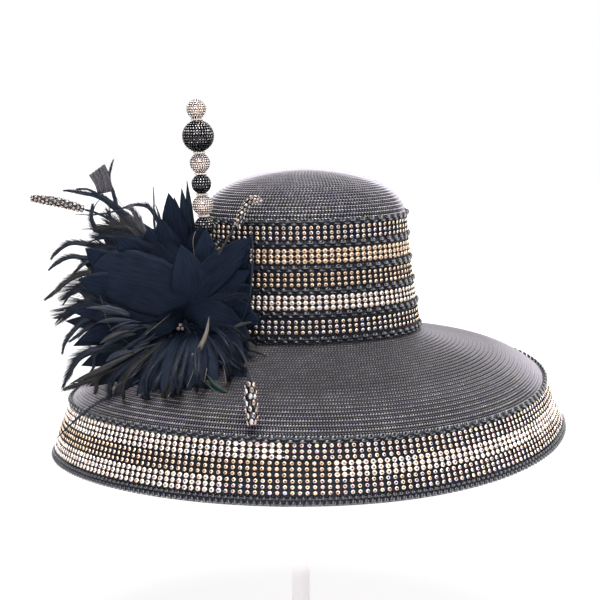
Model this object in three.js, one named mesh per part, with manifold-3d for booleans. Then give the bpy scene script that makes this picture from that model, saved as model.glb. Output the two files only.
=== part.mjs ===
// Wide-brimmed church hat of sewn black braid on a clear stand.
// It carries rhinestone bands, rows of black beads, a pin of pavé balls and a feather spray with stamens.
// Millimetres, +Z up. The origin is the middle of the underside of the stand's base.
// X runs along the head opening's long way and -Y is the side that carries the feathers' show face.
import * as THREE from "three";
import { mergeVertices } from "three/addons/utils/BufferGeometryUtils.js";
import Module from "manifold-3d";

const wasm = await Module();
wasm.setup();

// Sizes shared by the whole hat
const STRAW = 2;
const GAP = 0.3;
const FACETS = 32;
const HAT_SHIFT = 4.7;
const HAT_HEIGHT = 288;
const HAT_LEAN = THREE.MathUtils.degToRad(1.2);

// Crown: half its length at the bead rows, from the highest row down, with the rows' heights above the seam
const OPENING_HALF_LENGTH = 98;
const CROWN_ROUNDNESS = 0.8;
const DOME_RISE = 40.5;
const DOME_ANGLES = [24, 46, 70];
const CROWN_ROWS = [
  { height: 103.7, half: 89.2 },
  { height: 85.4, half: 90.0 },
  { height: 64.4, half: 91.8 },
  { height: 45.6, half: 94.0 },
  { height: 25.6, half: 97.0 },
  { height: 4.4, half: 99.7 },
];

// Brim: a slope from the opening to the fold, then a border that turns down to the edge
const FOLD_RADIUS = 210;
const FOLD_DROP = 48;
const EVEN_SLOPE = 0.68;
const BORDER_SPREAD = 17.8;
const BORDER_DROP = 45.5;
const BRIM_STATIONS = [0, 0.35, 0.65, 0.85, 1, 2];
// How the brim bends out of true: the edge rises on the right, dips in front and is twisted into a saddle
const SIDE_LIFT = { fold: 6.4, border: 3.3 };
const FRONT_DIP = { fold: 3.2, border: 3.4 };
const SADDLE = 5.6;

// Trim sewn on the straw
const BEAD_ROW = { half: 2.9, proud: 5.3, shoulder: 2.2, shoulderProud: 3.8 };
const STONE_BAND = { clear: 0.4, proud: 3.3 };
const STRIP = { start: 3.3, pitch: 12.9, height: 12.5 };
const EDGE_BEADS = { start: 42, proud: 3.6, waist: 2.9, round: 1, foot: 2.2 };
// Where the bright close-set strips meet the dark spaced ones, in degrees round from the front
const HALF_JOIN = 0.1;
const STRIP_JOINS = [
  { name: "upper", front: -5.3, back: 174, brightSide: "left" },
  { name: "middle", front: 4.8, back: -176, brightSide: "right" },
  { name: "lower", front: -17.4, back: -168, brightSide: "left" },
];

// Pin: pavé balls on a thin rod, from the top down
const PIN_TOP = new THREE.Vector3(-88.6, -64, 200.1);
const PIN_LEAN = new THREE.Vector3(3.8, 0, -99.3).normalize();
const ROD = { length: 186, radius: 1, tip: 0.6, sides: 8 };
const BORE_RADIUS = ROD.radius + GAP;
const BALL_GAP = 1.5;
const RING_RADIUS = 5.2;
const PIN_SIDES = 12;
const BALL_BANDS = 5;
const PIN_BALLS = [
  { radius: 7.8, colour: "crystal" },
  { radius: 13.2, colour: "black" },
  { radius: 8.1, colour: "crystal" },
  { radius: 8.1, colour: "black" },
  { radius: 8.3, colour: "crystal" },
  { radius: 8.1, colour: "black" },
];

// Feather spray: its middle, and its backing pressed against the crown
const SPRAY_MIDDLE = new THREE.Vector3(-108, -62, 19);
const BACKING = { x: 26, y: 27, z: 28, at: new THREE.Vector3(-97, -54, 20) };
const BLADE = { thickness: 2.2, tip: 0.12, root: 4, steps: 4, sides: 3 };
const STONES_AT = new THREE.Vector3(-106.4, -82.4, 17.8);
const STONE_CUP = { radius: 3.4, foot: 2.2, depth: 3, sides: 8 };
const CUP_STONES = { count: 3, radius: 2, apart: 2.1 };
// Each feather: turn round the middle (0 is +X, 90 is up), reach from the middle, width, how far its tip
// comes towards -Y, how far it bows sideways and forwards, and where its widest place lies along it
const FEATHERS = [
  { turn: 119, reach: 138, width: 16, toward: -20, bow: 6, arch: 8, wide: 0.86 },
  { turn: 112, reach: 148, width: 9, toward: -34, bow: -4, arch: 8, wide: 0.75 },
  { turn: 132, reach: 146, width: 10, toward: 8, bow: -14, arch: 8, wide: 0.6 },
  { turn: 135, reach: 128, width: 10, toward: -36, bow: 8, arch: 8, wide: 0.6 },
  { turn: 127, reach: 122, width: 12, toward: 18, bow: 10, arch: 8, wide: 0.6 },
  { turn: 115, reach: 108, width: 10, toward: -8, bow: -12, arch: 8, wide: 0.6 },
  { turn: 101, reach: 118, width: 9, toward: -30, bow: 3, arch: 8, wide: 0.5 },
  { turn: 93, reach: 110, width: 30, toward: 8, bow: 2, arch: 8, wide: 0.5 },
  { turn: 85, reach: 118, width: 30, toward: -10, bow: -4, arch: 8, wide: 0.55 },
  { turn: 75, reach: 92, width: 30, toward: 16, bow: 2, arch: 8, wide: 0.5 },
  { turn: 61, reach: 76, width: 28, toward: 28, bow: 0, arch: 8, wide: 0.5 },
  { turn: 46, reach: 92, width: 34, toward: 34, bow: 6, arch: 8, wide: 0.55 },
  { turn: 27, reach: 72, width: 32, toward: 38, bow: -4, arch: 8, wide: 0.5 },
  { turn: 6, reach: 70, width: 34, toward: 42, bow: 4, arch: 10, wide: 0.5 },
  { turn: -16, reach: 62, width: 30, toward: 48, bow: -4, arch: 16, wide: 0.5 },
  { turn: 106, reach: 88, width: 36, toward: 22, bow: 4, arch: 8, wide: 0.5 },
  { turn: 122, reach: 108, width: 38, toward: 2, bow: -4, arch: 8, wide: 0.5 },
  { turn: 138, reach: 112, width: 36, toward: 24, bow: 6, arch: 8, wide: 0.5 },
  { turn: 152, reach: 98, width: 36, toward: -26, bow: -4, arch: 8, wide: 0.5 },
  { turn: 155, reach: 124, width: 10, toward: -44, bow: 14, arch: 8, wide: 0.6 },
  { turn: 161, reach: 116, width: 11, toward: -6, bow: 12, arch: 8, wide: 0.6 },
  { turn: 171, reach: 118, width: 18, toward: 20, bow: -8, arch: 8, wide: 0.55 },
  { turn: 179, reach: 106, width: 34, toward: -28, bow: 6, arch: 8, wide: 0.6 },
  { turn: 191, reach: 98, width: 32, toward: 12, bow: -8, arch: 10, wide: 0.55 },
  { turn: 197, reach: 106, width: 12, toward: -46, bow: -10, arch: 8, wide: 0.6 },
  { turn: 210, reach: 112, width: 14, toward: 10, bow: 16, arch: 14, wide: 0.6 },
  { turn: 223, reach: 148, width: 14, toward: 40, bow: -10, arch: 40, wide: 0.6 },
  { turn: 236, reach: 80, width: 30, toward: 70, bow: 4, arch: 26, wide: 0.5 },
  { turn: 256, reach: 72, width: 30, toward: 86, bow: -4, arch: 30, wide: 0.5 },
  { turn: 281, reach: 68, width: 28, toward: 92, bow: 4, arch: 34, wide: 0.5 },
  { turn: 306, reach: 68, width: 26, toward: 86, bow: -4, arch: 34, wide: 0.5 },
  { turn: 324, reach: 74, width: 22, toward: 76, bow: 4, arch: 30, wide: 0.5 },
];

// Stone-covered stamens: the path of each wire, then the head's far end and widest radius
const WIRE = { radius: 1.2, lead: 8, steps: 8, corners: 3 };
const STAMENS = [
  {
    name: "left",
    wire: [[-104, -60, 40], [-140, -64, 92], [-186.5, -60, 117.2]],
    tip: [-231, -60, 128],
    radius: 5,
  },
  {
    name: "crown",
    wire: [[-96, -72, 34], [-74, -95, 76], [-57, -97, 103.5]],
    tip: [-42.7, -97, 124],
    radius: 4,
  },
  {
    name: "front",
    wire: [[-96, -74, 14], [-61, -110, 8], [-45, -190, -9]],
    tip: [-43.4, -211, -39],
    radius: 6.5,
  },
];
// A head's outline: how wide it is, as a share of its radius, at each share of its length
const HEAD_SIDES = 10;
const HEAD_OUTLINE = [
  { wide: 0, along: 0 },
  { wide: 0.45, along: 0 },
  { wide: 0.85, along: 0.2 },
  { wide: 1, along: 0.5 },
  { wide: 0.85, along: 0.8 },
  { wide: 0.4, along: 0.97 },
  { wide: 0, along: 1 },
];

// Stand
const BASE = { radius: 80, thickness: 8, bevel: 1.5, sides: 36 };
const POST = { radius: 8, sides: 20 };
const CAP = { radius: 32, rim: 6, rise: 12, bevel: 1, sides: 24 };

// Finishes
function finish(color, roughness, metalness, opacity = 1) {
  return new THREE.MeshStandardMaterial({ color, roughness, metalness, opacity, transparent: opacity < 1 });
}
const FINISHES = {
  braid: finish(0x232127, 0.55, 0),
  jet: finish(0x0c0c10, 0.15, 0.1),
  brightStones: finish(0xd9d2cb, 0.2, 0.6),
  darkStones: finish(0x8a7a70, 0.3, 0.4),
  silver: finish(0xc9c9cc, 0.25, 1),
  feather: finish(0x141a24, 0.6, 0),
  acrylic: finish(0xf2f5f7, 0.05, 0, 0.35),
};

// Shared geometry helpers
const FACET_TURN = 360 / FACETS;
const azimuths = Array.from({ length: FACETS + 1 }, (_, i) => i * FACET_TURN - 180);

function placed(geometry, place) {
  const position = geometry.getAttribute("position");
  for (let k = 0; k < position.count; k += 1) {
    const p = place(k);
    position.setXYZ(k, p.x, p.y, p.z);
  }
  geometry.deleteAttribute("normal");
  geometry.deleteAttribute("uv");
  return mergeVertices(geometry, 1e-4);
}

// A closed ring on the surface place(azimuth, along, proud); its section is a loop of [along, proud] pairs
function ring(section, place) {
  const loop = [...section, section[0]];
  const outline = loop.map(([along, proud]) => new THREE.Vector2(proud + 1, along));
  const lathe = new THREE.LatheGeometry(outline, FACETS);
  return placed(lathe, (k) => {
    const [along, proud] = loop[k % loop.length];
    return place(azimuths[Math.floor(k / loop.length)], along, proud);
  });
}

// A strip of the same surfaces between two azimuths, closed at its ends
function strip(from, to, low, high, inner, outer, place) {
  const corners = Array.from({ length: 2 * FACETS }, (_, i) => i * FACET_TURN - 360);
  const stops = [from, ...corners.filter((a) => a > from + HALF_JOIN && a < to - HALF_JOIN), to];
  const box = new THREE.BoxGeometry(1, 1, 1, stops.length - 1, 1, 1);
  const source = box.getAttribute("position").clone();
  return placed(box, (k) => {
    const stop = stops[Math.round((source.getX(k) + 0.5) * (stops.length - 1))];
    return place(stop, source.getY(k) > 0 ? high : low, source.getZ(k) > 0 ? outer : inner);
  });
}

// A point between two facet corners lies on their chord, so that strips and rings share the same flats
function onFacets(azimuth, corner) {
  const turn = azimuth / FACET_TURN;
  const first = Math.floor(turn + 1e-6);
  const part = Math.max(turn - first, 0);
  return corner(first * FACET_TURN).lerp(corner((first + 1) * FACET_TURN), part);
}

function around(azimuth, halfLength, halfDepth, height) {
  const t = THREE.MathUtils.degToRad(azimuth);
  return new THREE.Vector3(halfLength * Math.sin(t), -halfDepth * Math.cos(t), height);
}

function crownHalf(height) {
  const below = CROWN_ROWS.findIndex((row) => row.height <= height);
  const lower = below < 0 ? CROWN_ROWS.length - 1 : Math.max(below, 1);
  const a = CROWN_ROWS[lower - 1];
  const b = CROWN_ROWS[lower];
  return THREE.MathUtils.mapLinear(height, a.height, b.height, a.half, b.half);
}

function onCrown(azimuth, height, proud) {
  const half = crownHalf(height);
  return around(azimuth, half + proud, half * CROWN_ROUNDNESS + proud, height);
}

// The brim's surface: along runs 0 to 1 from the opening to the fold and 1 to 2 down the border
function brimDirection(along) {
  const slope = FOLD_DROP * (EVEN_SLOPE + 5 * (1 - EVEN_SLOPE) * along ** 4);
  const top = new THREE.Vector2(slope, FOLD_RADIUS - OPENING_HALF_LENGTH).normalize();
  const border = new THREE.Vector2(BORDER_DROP, BORDER_SPREAD).normalize();
  if (along > 1) return border;
  return along === 1 ? top.add(border).normalize() : top;
}

function onBrim(azimuth, along, proud) {
  const top = Math.min(along, 1);
  const border = Math.max(along - 1, 0);
  const out = brimDirection(along);
  const spread = BORDER_SPREAD * border + out.x * proud;
  const halfLength = THREE.MathUtils.lerp(OPENING_HALF_LENGTH, FOLD_RADIUS, top) + spread;
  const halfDepth = THREE.MathUtils.lerp(OPENING_HALF_LENGTH * CROWN_ROUNDNESS, FOLD_RADIUS, top) + spread;
  const drop = FOLD_DROP * (EVEN_SLOPE * top + (1 - EVEN_SLOPE) * top ** 5) + BORDER_DROP * border;
  const t = THREE.MathUtils.degToRad(azimuth);
  const ease = top ** 1.5;
  const lift = (SIDE_LIFT.fold * ease + SIDE_LIFT.border * border) * Math.sin(t);
  const dip = (FRONT_DIP.fold * ease + FRONT_DIP.border * border) * Math.cos(t);
  const twist = SADDLE * ease * Math.sin(2 * t);
  return around(azimuth, halfLength, halfDepth, out.y * proud - drop + lift - dip - twist);
}

const TOP_LENGTH = Math.hypot(FOLD_RADIUS - OPENING_HALF_LENGTH, FOLD_DROP);
const BORDER_LENGTH = Math.hypot(BORDER_SPREAD, BORDER_DROP);

function onBorder(azimuth, down, proud) {
  return onFacets(azimuth, (corner) => onBrim(corner, 1 + down / BORDER_LENGTH, proud));
}

// Solids that are joined or cut
function solid(geometry) {
  const bare = geometry.index ? geometry.toNonIndexed() : geometry.clone();
  bare.deleteAttribute("normal");
  bare.deleteAttribute("uv");
  const merged = mergeVertices(bare, 1e-4);
  return new wasm.Manifold(
    new wasm.Mesh({
      numProp: 3,
      vertProperties: new Float32Array(merged.getAttribute("position").array),
      triVerts: new Uint32Array(merged.index.array),
    }),
  );
}

function surface(manifold) {
  const mesh = manifold.getMesh();
  const geometry = new THREE.BufferGeometry();
  geometry.setAttribute("position", new THREE.BufferAttribute(mesh.vertProperties, 3));
  geometry.setIndex(new THREE.BufferAttribute(mesh.triVerts, 1));
  return geometry;
}

// One face of the crown's wall, from its foot up to the middle of its dome, set in from the outside by inset
function crownFace(inset) {
  const [top] = CROWN_ROWS;
  const foot = { outside: crownHalf(0), share: 1, height: GAP };
  const rows = CROWN_ROWS.toReversed().map(({ height, half }) => ({ outside: half, share: 1, height }));
  const dome = [...DOME_ANGLES, 90].map((angle) => {
    const a = THREE.MathUtils.degToRad(angle);
    const share = angle === 90 ? 0 : Math.cos(a);
    return { outside: top.half, share, height: top.height + (DOME_RISE - inset) * Math.sin(a) };
  });
  return [foot, ...rows, ...dome].map(({ outside, share, height }) => ({
    half: (outside - inset) * share,
    depth: (outside * CROWN_ROUNDNESS - inset) * share,
    height,
  }));
}

// Pieces of the hat
function crownShell() {
  const profile = [...crownFace(STRAW).toReversed(), ...crownFace(0)];
  const lathe = new THREE.LatheGeometry(profile.map((p) => new THREE.Vector2(p.half, p.height)), FACETS);
  return placed(lathe, (k) => {
    const p = profile[k % profile.length];
    return around(azimuths[Math.floor(k / profile.length)], p.half, p.depth, p.height);
  });
}

function brimShell() {
  const under = BRIM_STATIONS.map((along) => [along, -STRAW]);
  const over = BRIM_STATIONS.map((along) => [along, 0]);
  return ring([...under, ...over.toReversed()], onBrim);
}

function crownBeads(middle) {
  const { half, proud, shoulder, shoulderProud } = BEAD_ROW;
  const section = [
    [middle - half, GAP],
    [middle - shoulder, shoulderProud],
    [middle, proud],
    [middle + shoulder, shoulderProud],
    [middle + half, GAP],
  ];
  return ring(section, onCrown);
}

function crownStones(row) {
  const margin = BEAD_ROW.half + STONE_BAND.clear;
  const high = CROWN_ROWS[row].height - margin;
  const low = CROWN_ROWS[row + 1].height + margin;
  return ring([[low, GAP], [low, STONE_BAND.proud], [high, STONE_BAND.proud], [high, GAP]], onCrown);
}

function foldBeads() {
  const { half, proud, shoulder, shoulderProud } = BEAD_ROW;
  const section = [
    [1 + half / BORDER_LENGTH, GAP],
    [1 + shoulder / BORDER_LENGTH, shoulderProud],
    [1, proud],
    [1 - shoulder / TOP_LENGTH, shoulderProud],
    [1 - half / TOP_LENGTH, GAP],
    [1, GAP],
  ];
  return ring(section, onBrim);
}

function edgeBeads() {
  const { start, proud, waist, round, foot } = EDGE_BEADS;
  const middle = (start + BORDER_LENGTH) / 2;
  const section = [
    [BORDER_LENGTH, GAP],
    [BORDER_LENGTH, foot],
    [BORDER_LENGTH - round, proud],
    [middle, waist],
    [start + round, proud],
    [start, GAP],
  ];
  return ring(section, onBorder);
}

function brimStones(index, from, to) {
  const top = STRIP.start + index * STRIP.pitch;
  return strip(from, to, top + STRIP.height, top, GAP, STONE_BAND.proud, onBorder);
}

// Pin pieces stand along the pin's own axis, measured down from the top ball's middle
function alongPin(geometry, down) {
  const turn = new THREE.Quaternion().setFromUnitVectors(new THREE.Vector3(0, -1, 0), PIN_LEAN);
  const middle = PIN_TOP.clone().addScaledVector(PIN_LEAN, down);
  return geometry.applyQuaternion(turn).translate(middle.x, middle.y, middle.z);
}

function drilledBall(radius) {
  const rise = Math.acos(BORE_RADIUS / radius);
  const points = Array.from({ length: BALL_BANDS + 1 }, (_, i) => {
    const a = THREE.MathUtils.lerp(-rise, rise, i / BALL_BANDS);
    return new THREE.Vector2(radius * Math.cos(a), radius * Math.sin(a));
  });
  return new THREE.LatheGeometry([...points, points[0]], PIN_SIDES);
}

// A spacer ring fills the wedge between two balls
function spacerRing(upper, lower) {
  const inner = RING_RADIUS / 2;
  const reach = (radius, out) => radius - Math.sqrt(radius ** 2 - out ** 2);
  const half = BALL_GAP / 2 - GAP;
  const points = [
    new THREE.Vector2(inner, -half - reach(lower, inner)),
    new THREE.Vector2(RING_RADIUS, -half - reach(lower, RING_RADIUS)),
    new THREE.Vector2(RING_RADIUS, half + reach(upper, RING_RADIUS)),
    new THREE.Vector2(inner, half + reach(upper, inner)),
  ];
  return new THREE.LatheGeometry([...points, points[0]], PIN_SIDES);
}

// How wide a feather is, as a share of its full width: round at the root, widest at wide, narrow at the tip
function swell(along, wide) {
  const root = Math.sin((along / wide) * 0.5 * Math.PI) ** 0.8;
  const end = Math.cos(((along - wide) / (1 - wide)) * 0.47 * Math.PI);
  return Math.max(along < wide ? root : end, BLADE.tip);
}

// A tapered strip from the spray's middle to one feather's tip
function blade({ turn, reach, width, toward, bow, arch, wide }) {
  const a = THREE.MathUtils.degToRad(turn);
  const along = new THREE.Vector3(Math.cos(a), 0, Math.sin(a));
  const side = new THREE.Vector3(-Math.sin(a), 0, Math.cos(a));
  const start = BACKING.at.clone().addScaledVector(along, BLADE.root);
  const tip = SPRAY_MIDDLE.clone().addScaledVector(along, reach).add(new THREE.Vector3(0, -toward, 0));
  const middle = start.clone().lerp(tip, 0.5).addScaledVector(side, bow);
  middle.add(new THREE.Vector3(0, -arch, arch / 3));
  const spine = new THREE.QuadraticBezierCurve3(start, middle, tip);
  const face = new THREE.Vector3().crossVectors(spine.getTangent(0.5), side).normalize();
  const body = new THREE.CylinderGeometry(1, 1, 1, BLADE.sides, BLADE.steps);
  const source = body.getAttribute("position").clone();
  return placed(body, (k) => {
    const s = source.getY(k) + 0.5;
    const half = (width / 2) * swell(s, wide);
    const thick = (BLADE.thickness / 2) * (1 - 0.5 * s);
    const point = spine.getPoint(s).addScaledVector(side, source.getX(k) * half);
    return point.addScaledVector(face, -source.getZ(k) * thick);
  });
}

// A wire enters its head square on, so its last stretch runs along the head's axis
function wireTube({ wire, tip }, radius) {
  const points = wire.map((p) => new THREE.Vector3(...p));
  const end = points.pop();
  const axis = new THREE.Vector3(...tip).sub(end).normalize();
  const lead = end.clone().addScaledVector(axis, -WIRE.lead);
  const path = new THREE.CatmullRomCurve3([...points, lead, end], false, "centripetal");
  const section = new THREE.Shape().absarc(0, 0, radius, 0, 2 * Math.PI);
  return new THREE.ExtrudeGeometry(section, {
    extrudePath: path,
    steps: WIRE.steps,
    curveSegments: WIRE.corners,
  });
}

function stamenHead({ wire, tip, radius }) {
  const base = new THREE.Vector3(...wire.at(-1));
  const end = new THREE.Vector3(...tip);
  const axis = end.clone().sub(base).normalize();
  base.addScaledVector(axis, GAP);
  const length = base.distanceTo(end);
  const outline = HEAD_OUTLINE.map(({ wide, along }) => new THREE.Vector2(wide * radius, along * length));
  const lathe = new THREE.LatheGeometry(outline, HEAD_SIDES);
  lathe.applyQuaternion(new THREE.Quaternion().setFromUnitVectors(new THREE.Vector3(0, 1, 0), axis));
  return lathe.translate(base.x, base.y, base.z);
}

// Stones at the spray's middle, standing in a cup that opens towards -Y
function centreStones() {
  const { radius, foot, depth, sides } = STONE_CUP;
  const cup = new THREE.CylinderGeometry(foot, radius, depth, sides).translate(0, depth / 2, 0);
  let cluster = solid(cup);
  for (let i = 0; i < CUP_STONES.count; i += 1) {
    const a = (i / CUP_STONES.count) * 2 * Math.PI;
    const stone = new THREE.SphereGeometry(CUP_STONES.radius, 6, 4);
    stone.translate(CUP_STONES.apart * Math.cos(a), 0, CUP_STONES.apart * Math.sin(a));
    cluster = cluster.add(solid(stone));
  }
  return surface(cluster).translate(...STONES_AT);
}

function centreClearance() {
  const wide = STONE_CUP.radius + 1;
  const deep = STONE_CUP.depth + 8;
  const well = new THREE.CylinderGeometry(wide, wide, deep, PIN_SIDES);
  return solid(well.translate(0, STONE_CUP.depth / 2 - 4 + GAP, 0).translate(...STONES_AT));
}

// Assembly
const hat = new THREE.Group();
hat.position.set(HAT_SHIFT, 0, HAT_HEIGHT);
hat.rotation.y = -HAT_LEAN;

function add(group, name, geometry, material) {
  const mesh = new THREE.Mesh(geometry, material);
  mesh.name = name;
  group.add(mesh);
  return mesh;
}

add(hat, "crown", crownShell(), FINISHES.braid);
add(hat, "brim", brimShell(), FINISHES.braid);
CROWN_ROWS.forEach(({ height }, i) => {
  add(hat, `crown_beads_${i + 1}`, crownBeads(height), FINISHES.jet);
});
for (let row = 0; row < CROWN_ROWS.length - 1; row += 1) {
  const material = row % 2 ? FINISHES.brightStones : FINISHES.darkStones;
  add(hat, `crown_stones_${row + 1}`, crownStones(row), material);
}
add(hat, "brim_fold_beads", foldBeads(), FINISHES.jet);
add(hat, "brim_edge_beads", edgeBeads(), FINISHES.jet);

STRIP_JOINS.forEach(({ name, front, back, brightSide }, index) => {
  const seam = back > 0 ? back - 360 : back;
  const left = brimStones(index, seam + HALF_JOIN, front - HALF_JOIN);
  const right = brimStones(index, front + HALF_JOIN, seam + 360 - HALF_JOIN);
  const [bright, dark] = brightSide === "left" ? [left, right] : [right, left];
  add(hat, `brim_stones_${name}_bright`, bright, FINISHES.brightStones);
  add(hat, `brim_stones_${name}_dark`, dark, FINISHES.darkStones);
});

// Pin
const pinSolids = [];
let down = 0;
PIN_BALLS.forEach(({ radius, colour }, i) => {
  if (i > 0) {
    const upper = PIN_BALLS[i - 1].radius;
    const between = down + upper + BALL_GAP / 2;
    const spacer = alongPin(spacerRing(upper, radius), between);
    add(hat, `pin_ring_${i}`, spacer, FINISHES.silver);
    down += upper + BALL_GAP + radius;
  }
  const material = colour === "black" ? FINISHES.jet : FINISHES.brightStones;
  add(hat, `pin_ball_${i + 1}`, alongPin(drilledBall(radius), down), material);
  pinSolids.push(solid(alongPin(new THREE.SphereGeometry(radius + 2 * GAP, 12, 8), down)));
});
const rodMiddle = ROD.length / 2 - PIN_BALLS[0].radius - ROD.tip;
const rod = new THREE.CylinderGeometry(ROD.radius, ROD.radius, ROD.length, ROD.sides);
const rodHole = new THREE.CylinderGeometry(BORE_RADIUS, BORE_RADIUS, ROD.length + 2 * GAP, PIN_SIDES);
add(hat, "pin_rod", alongPin(rod, rodMiddle), FINISHES.silver);
pinSolids.push(solid(alongPin(rodHole, rodMiddle)));

// Stamens
const wireClearances = [];
STAMENS.forEach((stamen) => {
  add(hat, `spray_wire_${stamen.name}`, wireTube(stamen, WIRE.radius), FINISHES.jet);
  add(hat, `spray_head_${stamen.name}`, stamenHead(stamen), FINISHES.brightStones);
  wireClearances.push(solid(wireTube(stamen, WIRE.radius + GAP)));
  wireClearances.push(solid(stamenHead({ ...stamen, radius: stamen.radius + 1 })));
});

// Feathers: blades and backing fused, clear of the crown, the brim and the trim that passes among them
function oval(section) {
  const outline = section.map(([half, height]) => new THREE.Vector2(half, height));
  const lathe = new THREE.LatheGeometry(outline, FACETS);
  return placed(lathe, (k) => {
    const [half, height] = section[k % section.length];
    const depth = half === 0 ? 0 : half * CROWN_ROUNDNESS + BEAD_ROW.proud * (1 - CROWN_ROUNDNESS);
    return around(azimuths[Math.floor(k / section.length)], half, depth, height);
  });
}

function crownEnvelope() {
  const reach = BEAD_ROW.proud + 2 * GAP;
  const side = CROWN_ROWS.toReversed().map(({ height, half }) => [half + reach, height]);
  const [[foot]] = side;
  const top = side.at(-1)[1] + DOME_RISE + GAP;
  return solid(oval([[0, -FOLD_DROP], [foot, -FOLD_DROP], ...side, [foot / 2, top], [0, top]]));
}

function brimEnvelope() {
  const over = BRIM_STATIONS.map((along) => [along, BEAD_ROW.proud + GAP]);
  const under = BRIM_STATIONS.map((along) => [along, -10 * STRAW]);
  return solid(ring([...under, ...over.toReversed()], onBrim));
}

function featherSpray() {
  const backing = new THREE.SphereGeometry(1, 10, 7).scale(BACKING.x, BACKING.y, BACKING.z);
  let spray = solid(backing.translate(...BACKING.at));
  FEATHERS.forEach((feather) => {
    spray = spray.add(solid(blade(feather)));
  });
  const envelopes = [crownEnvelope(), brimEnvelope(), centreClearance()];
  for (const keepOut of [...envelopes, ...pinSolids, ...wireClearances]) {
    spray = spray.subtract(keepOut);
  }
  return spray.decompose().sort((a, b) => b.volume() - a.volume())[0];
}
add(hat, "feather_spray", surface(featherSpray()), FINISHES.feather);
add(hat, "feather_stones", centreStones(), FINISHES.brightStones);

// Stand
const part = new THREE.Group();
part.add(hat);

const base = [
  [0, 0],
  [BASE.radius, 0],
  [BASE.radius, BASE.thickness - BASE.bevel],
  [BASE.radius - BASE.bevel, BASE.thickness],
  [0, BASE.thickness],
];
function upright(points, sides) {
  const lathe = new THREE.LatheGeometry(points.map(([r, h]) => new THREE.Vector2(r, h)), sides);
  return lathe.rotateX(Math.PI / 2);
}
add(part, "stand_base", upright(base, BASE.sides), FINISHES.acrylic);

const domeInside = CROWN_ROWS[0].height + DOME_RISE - STRAW;
const capTop = HAT_HEIGHT + domeInside * Math.cos(HAT_LEAN) - GAP;
const capFoot = capTop - CAP.rise - CAP.rim;
const capArc = [0, 30, 60, 90].map((angle) => {
  const a = THREE.MathUtils.degToRad(angle);
  return [CAP.radius * Math.cos(a), capFoot + CAP.rim + CAP.rise * Math.sin(a)];
});
const cap = [[0, capFoot], [CAP.radius - CAP.bevel, capFoot], [CAP.radius, capFoot + CAP.bevel], ...capArc];
add(part, "stand_cap", upright(cap, CAP.sides), FINISHES.acrylic);

const postLength = capFoot - BASE.thickness - 2 * GAP;
const post = new THREE.CylinderGeometry(POST.radius, POST.radius, postLength, POST.sides);
post.rotateX(Math.PI / 2).translate(0, 0, BASE.thickness + GAP + postLength / 2);
add(part, "stand_post", post, FINISHES.acrylic);

export default part;
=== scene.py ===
# Looks of a wide-brimmed black braid hat: stones, beads, a beaded pin and a feather spray, on a clear stand
import math
from collections import namedtuple

import bmesh
import bpy
import numpy as np
from mathutils import Matrix, Vector


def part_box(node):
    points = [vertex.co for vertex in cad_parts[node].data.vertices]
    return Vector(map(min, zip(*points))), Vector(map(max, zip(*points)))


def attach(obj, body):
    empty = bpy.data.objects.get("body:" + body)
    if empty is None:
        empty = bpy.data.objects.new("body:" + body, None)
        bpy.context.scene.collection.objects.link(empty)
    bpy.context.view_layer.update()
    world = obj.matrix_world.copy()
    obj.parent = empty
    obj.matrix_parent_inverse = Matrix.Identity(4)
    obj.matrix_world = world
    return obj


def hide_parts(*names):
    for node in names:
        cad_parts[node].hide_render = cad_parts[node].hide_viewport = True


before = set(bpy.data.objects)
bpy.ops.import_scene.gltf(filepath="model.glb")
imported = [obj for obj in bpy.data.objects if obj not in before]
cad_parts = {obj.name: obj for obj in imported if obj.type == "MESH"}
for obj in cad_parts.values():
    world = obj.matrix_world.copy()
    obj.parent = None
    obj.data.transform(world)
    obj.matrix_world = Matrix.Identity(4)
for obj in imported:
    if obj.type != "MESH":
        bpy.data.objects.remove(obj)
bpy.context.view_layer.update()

# The hat's own frame is in millimetres: it stands on the post, leaning a little to one side
MM = 0.001
HAT_SHIFT = 4.7
HAT_HEIGHT = 288
HAT_LEAN = math.radians(1.2)

# Crown: heights above the seam and half lengths at the bead rows, from the lowest up
STRAW = 2
ROW_HEIGHTS = (4.4, 25.6, 45.6, 64.4, 85.4, 103.7)
ROW_HALVES = (99.7, 97.0, 94.0, 91.8, 90.0, 89.2)
ROUNDNESS = 0.8
DOME_RISE = 40.5

# Brim: from the opening out to the fold, then down the border, with its bends out of true
OPENING_HALF = 98
FOLD_RADIUS = 210
FOLD_DROP = 48
EVEN_SLOPE = 0.68
STEEPENING = 5
FOLD_START = 0.97
FOLD_WIDTH = 0.06
BORDER_SPREAD = 17.8
BORDER_DROP = 45.5
BORDER_LENGTH = math.hypot(BORDER_SPREAD, BORDER_DROP)
SIDE_LIFT = (6.4, 3.3)
FRONT_DIP = (3.2, 3.4)
SADDLE = 5.6

# Trim: pitches of strips, stitches, beads and stones, and the border's strips of stones
BRAID_PITCH = 4.5
STITCH = 2.3
BEAD_PITCH = 9.1
EDGE_PITCH = 5.1
STONE_PITCH = 5.8
STRIP_START = 3.3
STRIP_PITCH = 12.9
STRIP_HEIGHT = 12.5

rng = np.random.default_rng(11)


def on_stand(points):
    """Hat millimetres, as an array whose last axis is x, y, z, to metres where the hat stands."""
    x, y, z = np.moveaxis(np.asarray(points, float), -1, 0)
    c, s = math.cos(HAT_LEAN), math.sin(HAT_LEAN)
    return MM * np.stack([x * c - z * s + HAT_SHIFT, y, x * s + z * c + HAT_HEIGHT], -1)


# Surfaces of the hat: each takes a turn in degrees from the front, a station and a stand-off, as arrays
def around(turn, half_x, half_y, height):
    t = np.radians(turn)
    return np.stack(np.broadcast_arrays(half_x * np.sin(t), -half_y * np.cos(t), height), -1)


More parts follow.
